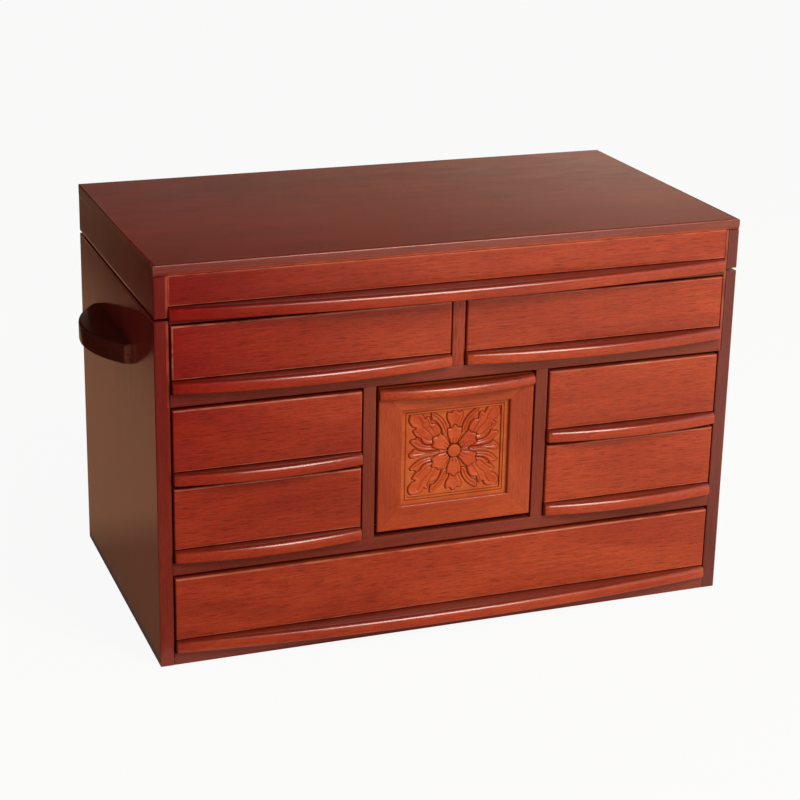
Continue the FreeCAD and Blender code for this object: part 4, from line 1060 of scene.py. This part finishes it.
BRASS = metal("brushed brass", "#B98F3E", "#D6AE5C", 0.28)
BRONZE = metal("blackened brass", "#2E1E14", "#4A3120", 0.4)
STEEL = metal("zinc plated steel", "#A9ABAD", "#C9CBCC", 0.32)
PLASTIC = moulded("brown moulded plastic", "#3A2218", "#4A2D20", 0.45)
RUBBER = moulded("dark rubber", "#3B3330", "#4A413D", 0.6)
SILVER, tree = new_paint("silvered mirror")
place = add(tree, "ShaderNodeTexCoord")
haze = add(tree, "ShaderNodeTexNoise", slot_0=place.outputs["Object"], Scale=30.0, Detail=4.0)
wipe = shades(tree, haze.outputs[0], (0.4, 0.01), (0.75, 0.05))
glass = add(tree, "ShaderNodeBsdfPrincipled", Base_Color=colour("#DDE2E0"), Metallic=1.0,
            Roughness=wipe)
add(tree, "ShaderNodeOutputMaterial", Surface=glass.outputs[0])

low, high = corners("mirror")
mirror = block("mirror_plate", low, high)
edit(mirror)
pick(mirror, "FACE", lambda m, n: n.z < -0.9)
BEVEL_WIDE, BEVEL_DEEP = 9.0, 0.9
bpy.ops.mesh.inset(thickness=BEVEL_WIDE * MM)
leave()
for vertex in mirror.data.vertices:
    x, y, z = vertex.co / MM
    if z < low.z + 0.01 and abs(x) > high.x - 1:
        vertex.co.z += BEVEL_DEEP * MM
ready(mirror, "lid", "mirror_glass", SILVER, "mirror")
bpy.ops.object.shade_flat()


def refinish(node, paint):
    """Gives a solid that stays as it is its material."""
    solid = frame["nodes"][node]
    solid.data.materials.clear()
    solid.data.materials.append(paint)


SMALL_PARTS = {"hinge_leaves_carcase": BRASS, "hinge_leaves_lid": BRASS, "hinge_pins": BRASS,
               "hinge_screws_carcase": BRASS, "hinge_screws_lid": BRASS,
               "flap_pivot_pins": BRONZE, "flap_strike_plate": STEEL, "magnet_catch": PLASTIC,
               "lid_bumpers": RUBBER}
for node, paint in SMALL_PARTS.items():
    refinish(node, paint)
print("small parts with their finishes:", len(SMALL_PARTS))

# %% [markdown]
# ## The carved panel
# The panel is carved in low relief: a six-petalled rosette, a palmette over and under it,
# pairs of side leaves, and a leaf in each corner, inside a flat border with a bead. The carver
# drew the outlines, cut them with a V-tool, lowered the ground between the leaves, and rounded
# the leaves over. The relief is worked out the same way: each outline is a smooth closed
# curve, and a point's depth comes from its distance to the curve. The leaves of one quarter
# are drawn and mirrored.
# %% Carving: the drawn outlines
CORNER_LEAF = [(-34.5, 27.5), (-33.5, 30.3), (-31, 31.5), (-27.5, 31.2), (-24.5, 30),
               (-23.3, 28.2), (-22.4, 26.5), (-21.4, 27.5), (-19.9, 27.8), (-18.7, 26.4),
               (-18.1, 24.4), (-17.6, 22.5), (-15.5, 22.5), (-13.2, 21.3), (-11.4, 19),
               (-10.6, 16), (-10, 12.5), (-10, 8), (-14, 6.2), (-17, 6.9), (-21, 7.3),
               (-24, 9.4), (-25.6, 12.3), (-28.2, 13.6), (-30, 15.5), (-31.5, 18.3),
               (-29.6, 19.6), (-29.4, 20.6), (-31.6, 21.4), (-33.4, 23.6), (-34.4, 25.5)]
CRESCENT_LEAF = [(-17.7, 31.3), (-15, 30), (-11, 27), (-7.8, 22.8), (-5.6, 18), (-5, 14),
                 (-8.8, 14), (-10.2, 18), (-12.3, 21.6), (-14.6, 24), (-17.2, 25.2), (-17.9, 28)]
SIDE_LEAF = [(-33.5, 10.6), (-32, 12), (-30, 11.8), (-28, 13.3), (-26.8, 11), (-24.5, 8.4),
             (-21, 6.8), (-17, 6.2), (-12, 5), (-12, 2.6), (-18, 2.5), (-22.5, 2.9),
             (-26.5, 4.1), (-30, 6.5), (-32.5, 9)]
MIDDLE_LEAF = [(-29.9, 4.9), (-32.2, 2.8), (-34.1, 0.9), (-33.4, -1.1), (-31.5, -2.3),
               (-28.4, -1.7), (-24.5, -0.4), (-19.5, 0.1), (-12, 0), (-12, 1.9), (-19.5, 2),
               (-24, 2.3), (-27, 3.2), (-28.7, 4.3)]
PALMETTE = [(-3, 17), (-3.6, 20), (-5.2, 23), (-6.1, 26), (-5.7, 29.4), (-4.2, 29.3),
            (-3, 28.9), (-1.9, 30), (0, 31.8), (1.9, 30), (3, 28.9), (4.2, 29.3), (5.7, 29.4),
            (6.1, 26), (5.2, 23), (3.6, 20), (3, 17)]
# a petal is drawn along its own middle line: distance from the rosette's centre, then sideways
PETAL = [(5.4, -2.2), (8, -3.6), (11, -4.9), (14, -5.5), (16.8, -5.4), (17.2, -4.0),
         (17.5, -2.7), (18.8, -1.6), (19.9, 0), (18.8, 1.6), (17.5, 2.7), (17.2, 4.0),
         (16.8, 5.4), (14, 5.5), (11, 4.9), (8, 3.6), (5.4, 2.2)]
PETAL_TURNS = (146, 34, -148, -32, 90, -90)
# each vein, and whether it is mirrored below
VEINS = [([(-27.5, 28), (-25.2, 24.5), (-24.2, 21.3), (-21, 17.8), (-18, 14.6), (-16.4, 11),
           (-16, 6)], True),
         ([(-29, 17.5), (-24.5, 13.8), (-20.5, 10.6), (-17.5, 9.8)], True),
         ([(-20.2, 25.8), (-19, 21.5), (-16.6, 17.5), (-14, 13)], True),
         ([(-16.6, 29), (-12.4, 25.2), (-9, 20.6), (-7, 15)], True),
         ([(-31.2, 10), (-26.4, 6.9), (-21, 5), (-13, 4)], True),
         ([(-31.5, 1), (-25.5, 0.9), (-19, 1), (-12, 1)], False)]
LOWER_SCALE = 0.945
BOSS = (0.0, 0.5)
print("veins drawn:", len(VEINS))


# %% Carving: depth from the outlines
def smooth_loop(points, per=7, closed=True):
    """A curve through the points, drawn with a spline that passes each of them."""
    points = np.array(points, float)
    if closed:
        ring = np.vstack([points[-1], points, points[0], points[1]])
    else:
        ring = np.vstack([2 * points[0] - points[1], points, 2 * points[-1] - points[-2]])
    steps = np.linspace(0, 1, per, endpoint=False)[:, None]
    runs = []
    for a, b, c, d in zip(ring[:-3], ring[1:-2], ring[2:-1], ring[3:]):
        runs.append(0.5 * (2 * b + (c - a) * steps + (2 * a - 5 * b + 4 * c - d) * steps ** 2
                           + (3 * b - a - 3 * c + d) * steps ** 3))
    curve = np.vstack(runs)
    return curve if closed else np.vstack([curve, points[-1]])


def near(xs, zs, curve, reach):
    """Which points lie in the curve's box, grown by a reach."""
    low, high = curve.min(0) - reach, curve.max(0) + reach
    return np.nonzero((xs > low[0]) & (xs < high[0]) & (zs > low[1]) & (zs < high[1]))[0]


def curve_distance(px, pz, curve, closed):
    """Distance to a curve, and for a closed one whether a point is inside it."""
    ends = np.roll(curve, -1, axis=0) if closed else curve[1:]
    starts = curve if closed else curve[:-1]
    best = np.full(len(px), 1e9)
    inside = np.zeros(len(px), bool)
    for (ax, az), (bx, bz) in zip(starts, ends):
        ux, uz = bx - ax, bz - az
        along = np.clip(((px - ax) * ux + (pz - az) * uz) / max(ux * ux + uz * uz, 1e-12), 0, 1)
        best = np.minimum(best, (px - ax - along * ux) ** 2 + (pz - az - along * uz) ** 2)
        if closed and az != bz:
            crosses = (az > pz) != (bz > pz)
            inside ^= crosses & (px < ux * (pz - az) / uz + ax)
    return np.sqrt(best), inside


def step(value, low, high):
    """A smooth rise from 0 at low to 1 at high."""
    t = np.clip((value - low) / (high - low), 0, 1)
    return t * t * (3 - 2 * t)


def mirrored(points, flip_x, flip_z):
    """The same outline on the other side, or below, where the carver drew it a little smaller."""
    return [((-x if flip_x else x), (-z * LOWER_SCALE if flip_z else z)) for x, z in points]


def relief(xs, zs):
    """Depth below the border's face, how much a point is leaf, and how much it is darkened in the
    cuts and hollows, as stain and painted shade.
    """
    GROUND = -1.15
    depth = np.full(len(xs), GROUND)
    leaf = np.zeros(len(xs))
    cut_stain_and_shade = np.zeros(len(xs))

    def lay(points, level, dish, shoulder=0.9):
        curve = smooth_loop(points)
        at = near(xs, zs, curve, 1.5)
        distance, inside = curve_distance(xs[at], zs[at], curve, True)
        inner = at[inside]
        d = distance[inside]
        depth[inner] = (level - (level - GROUND) * 0.75 * np.exp(-(d / (shoulder * 0.55)) ** 1.5)
                        - dish * step(d, 0.9, 3.4))
        leaf[inner] = step(d, 0.0, 0.25)
        cut_stain_and_shade[inner] = np.maximum(0.65 * np.exp(-(d / 0.35) ** 2),
                                    0.25 * step(d, 1.2, 3.6) * dish)
        # the V-tool's cut runs just outside the outline
        beside = ~inside & (distance < 1.0)
        outer, d = at[beside], distance[beside]
        lowered = np.maximum(GROUND, depth[outer] - 0.5 * np.exp(-(d / 0.5) ** 2))
        depth[outer] = np.minimum(depth[outer], lowered) - 0.36 * np.exp(-((d - 0.15) / 0.3) ** 2)
        cut_stain_and_shade[outer] = np.maximum(cut_stain_and_shade[outer], np.exp(-(d / 0.42) ** 2))

    for flip_z in (False, True):
        for flip_x in (False, True):
            lay(mirrored(CORNER_LEAF, flip_x, flip_z), -0.16, 0.46)
            lay(mirrored(CRESCENT_LEAF, flip_x, flip_z), -0.22, 0.34, 0.7)
    for flip_x in (False, True):
        lay(mirrored(MIDDLE_LEAF, flip_x, False), -0.30, 0.15, 0.6)
        for flip_z in (False, True):
            lay(mirrored(SIDE_LEAF, flip_x, flip_z), -0.26, 0.20, 0.7)
    for curve, both in VEINS:
        for flip_z in (False, True) if both else (False,):
            for flip_x in (False, True):
                line = smooth_loop(mirrored(curve, flip_x, flip_z), 6, False)
                at = near(xs, zs, line, 1.5)
                d = curve_distance(xs[at], zs[at], line, False)[0]
                depth[at] -= 0.42 * np.exp(-(d / 0.42) ** 2) * leaf[at]
                cut_stain_and_shade[at] = np.maximum(cut_stain_and_shade[at], 0.6 * np.exp(-(d / 0.35) ** 2) * leaf[at])
    for flip_z in (False, True):
        lay(mirrored(PALMETTE, False, flip_z), -0.16, 0.46)
    for degrees in PETAL_TURNS:
        turn = math.radians(degrees)
        c, s = math.cos(turn), math.sin(turn)
        squeeze = 0.985 if abs(degrees) == 90 else 1.0
        lay([(BOSS[0] + (r * c - w * s) * squeeze, BOSS[1] + (r * s + w * c) * squeeze)
             for r, w in PETAL], -0.06, 0.16)
        along = (xs - BOSS[0]) * c + (zs - BOSS[1]) * s
        aside = -(xs - BOSS[0]) * s + (zs - BOSS[1]) * c
        on_petal = (along > 4.5) & (along < 20) & (np.abs(aside) < 1.2 + along * 0.32)
        # the petal sinks towards the rosette, with a gouge cut either side of its middle rib
        depth[on_petal] -= 0.42 * (1 - step(along[on_petal], 5.5, 12.5))
        gouge = np.exp(-((np.abs(aside[on_petal]) - 1.15) / 0.55) ** 2) * (
            1 - step(along[on_petal], 7.5, 11.5))
        depth[on_petal] -= 0.38 * gouge
        cut_stain_and_shade[on_petal] = np.maximum(cut_stain_and_shade[on_petal], 0.55 * gouge)
    radius = np.hypot(xs - BOSS[0], zs - BOSS[1])
    ring = radius < 5.6
    depth[ring] = np.minimum(depth[ring], -0.75)
    cut_stain_and_shade[ring] = np.exp(-((radius[ring] - 5.05) / 0.4) ** 2)
    dome = radius < 4.8
    depth[dome] = -0.62 + 0.60 * np.sqrt(np.maximum(0, 1 - (radius[dome] / 4.85) ** 2))
    leaf[dome] = 0.8
    # the border: outer flat, a groove, a bead, and the wall down to the ground
    edge = np.minimum(np.minimum(xs + 40.4, 40.4 - xs), np.minimum(zs + 36.2, 35.9 - zs))
    band = edge < 5.4
    e = edge[band]
    bead = -0.30 + 0.30 * np.sqrt(np.clip(1 - ((e - 4.25) / 0.85) ** 2, 0, 1))
    profile = np.where(e < 3.1, -0.02, np.where(e < 3.5, -0.45, np.where(e < 5.05, bead, -0.8)))
    depth[band] = np.maximum(profile, -1.1)
    leaf[band] = 0.0
    cut_stain_and_shade[band] = np.maximum(np.exp(-((e - 3.3) / 0.32) ** 2), np.exp(-((e - 5.25) / 0.3) ** 2))
    return depth, leaf, cut_stain_and_shade


# %% Carving: the panel's mesh
low, high = corners("flap_carved_panel")
centre_z = (low.z + high.z) / 2
COLUMNS, ROWS = ((300, 268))
CARVED_WIDE, CARVED_TALL = 82.4, 73.6
bpy.ops.object.select_all(action="DESELECT")
bpy.ops.mesh.primitive_grid_add(x_subdivisions=COLUMNS, y_subdivisions=ROWS, size=1)
panel = bpy.context.object
panel.name = "flap_carving"
count = len(panel.data.vertices)
places = np.empty(count * 3)
panel.data.vertices.foreach_get("co", places)
places = places.reshape(-1, 3)
xs, zs = places[:, 0] * CARVED_WIDE, places[:, 1] * CARVED_TALL
depth, leaf, cut_stain_and_shade = relief(xs, zs)
places = np.stack([xs, low.y - depth, zs + centre_z], 1) * MM
panel.data.vertices.foreach_set("co", places.ravel())
for name, values in (("leaf", leaf), ("cut", cut_stain_and_shade)):
    layer = panel.data.attributes.new(name, "FLOAT", "POINT")
    layer.data.foreach_set("value", values)
edit(panel)
bpy.ops.mesh.region_to_loop()
bpy.ops.mesh.extrude_region_move()
bpy.ops.transform.resize(value=(87.2 / CARVED_WIDE, 1, 77.3 / CARVED_TALL),
                         center_override=(0, low.y * MM, centre_z * MM))
bpy.ops.mesh.extrude_region_move(TRANSFORM_OT_translate={"value": (0, (high.y - low.y) * MM, 0)})
bpy.ops.mesh.edge_face_add()
bpy.ops.mesh.select_all(action="SELECT")
bpy.ops.mesh.normals_make_consistent(inside=False)
leave()
for vertex in panel.data.vertices:
    if vertex.co.y > (low.y + 2) * MM:
        vertex.co.y = high.y * MM
print("carving points:", len(panel.data.vertices))

# %% [markdown]
# The carving's stain is lighter than the frame's. It was wiped off the high border and the
# ground while wet and stayed in the cuts, so leaves are red and the ground orange. The cuts and
# the leaves' hollows are near brown: partly that stain, partly painted shade. A punch left the
# ground matt between the leaves.
# %% Carved wood finish
CARVED, tree = new_paint("carved and wiped wood")
place = add(tree, "ShaderNodeTexCoord")
is_leaf = add(tree, "ShaderNodeAttribute", {"attribute_name": "leaf"})
is_cut = add(tree, "ShaderNodeAttribute", {"attribute_name": "cut"})
mapped = add(tree, "ShaderNodeMapping", slot_0=place.outputs["Object"], Scale=(40, 300, 700))
fibre = add(tree, "ShaderNodeTexNoise", slot_0=mapped.outputs[0], Scale=1.0, Detail=3.0)
wiping = add(tree, "ShaderNodeTexNoise", slot_0=place.outputs["Object"], Scale=55.0, Detail=2.0)
ground_tone = shades(tree, wiping.outputs[0], (0.3, "#B84E20"), (0.7, "#CA622C"))
leaf_tone = shades(tree, wiping.outputs[0], (0.3, "#B8441C"), (0.7, "#CC5828"))
tone = blended(tree, is_leaf.outputs["Fac"], ground_tone, leaf_tone)
streaks = shades(tree, fibre.outputs[0], (0.35, 0.86), (0.6, 1.0))
tone = blended(tree, 1.0, tone, streaks, "MULTIPLY")
# darker in the cuts and hollows: partly stain left in them, partly painted shade
sunk = add(tree, "ShaderNodeMath", {"operation": "MULTIPLY"}, slot_0=is_cut.outputs["Fac"],
           slot_1=0.82)
tone = blended(tree, sunk.outputs[0], tone, colour("#5E1608"))
punch = add(tree, "ShaderNodeTexVoronoi", slot_0=place.outputs["Object"], Scale=1100.0)
matted = add(tree, "ShaderNodeMath", {"operation": "SUBTRACT"}, slot_0=1.0,
             slot_1=is_leaf.outputs["Fac"])
dents = add(tree, "ShaderNodeMath", {"operation": "MULTIPLY"}, slot_0=matted.outputs[0],
            slot_1=punch.outputs[0])
bumps = add(tree, "ShaderNodeBump", Strength=0.3, Distance=0.00018, Height=dents.outputs[0])
bumps = add(tree, "ShaderNodeBump", Strength=0.2, Distance=0.00008, Height=fibre.outputs[0],
            Normal=bumps.outputs[0])
body = add(tree, "ShaderNodeBsdfPrincipled", Base_Color=tone, Roughness=0.27,
           Normal=bumps.outputs[0])
add(tree, "ShaderNodeOutputMaterial", Surface=body.outputs[0])
ready(panel, "flap", "carved_wood", CARVED, "flap_carved_panel")
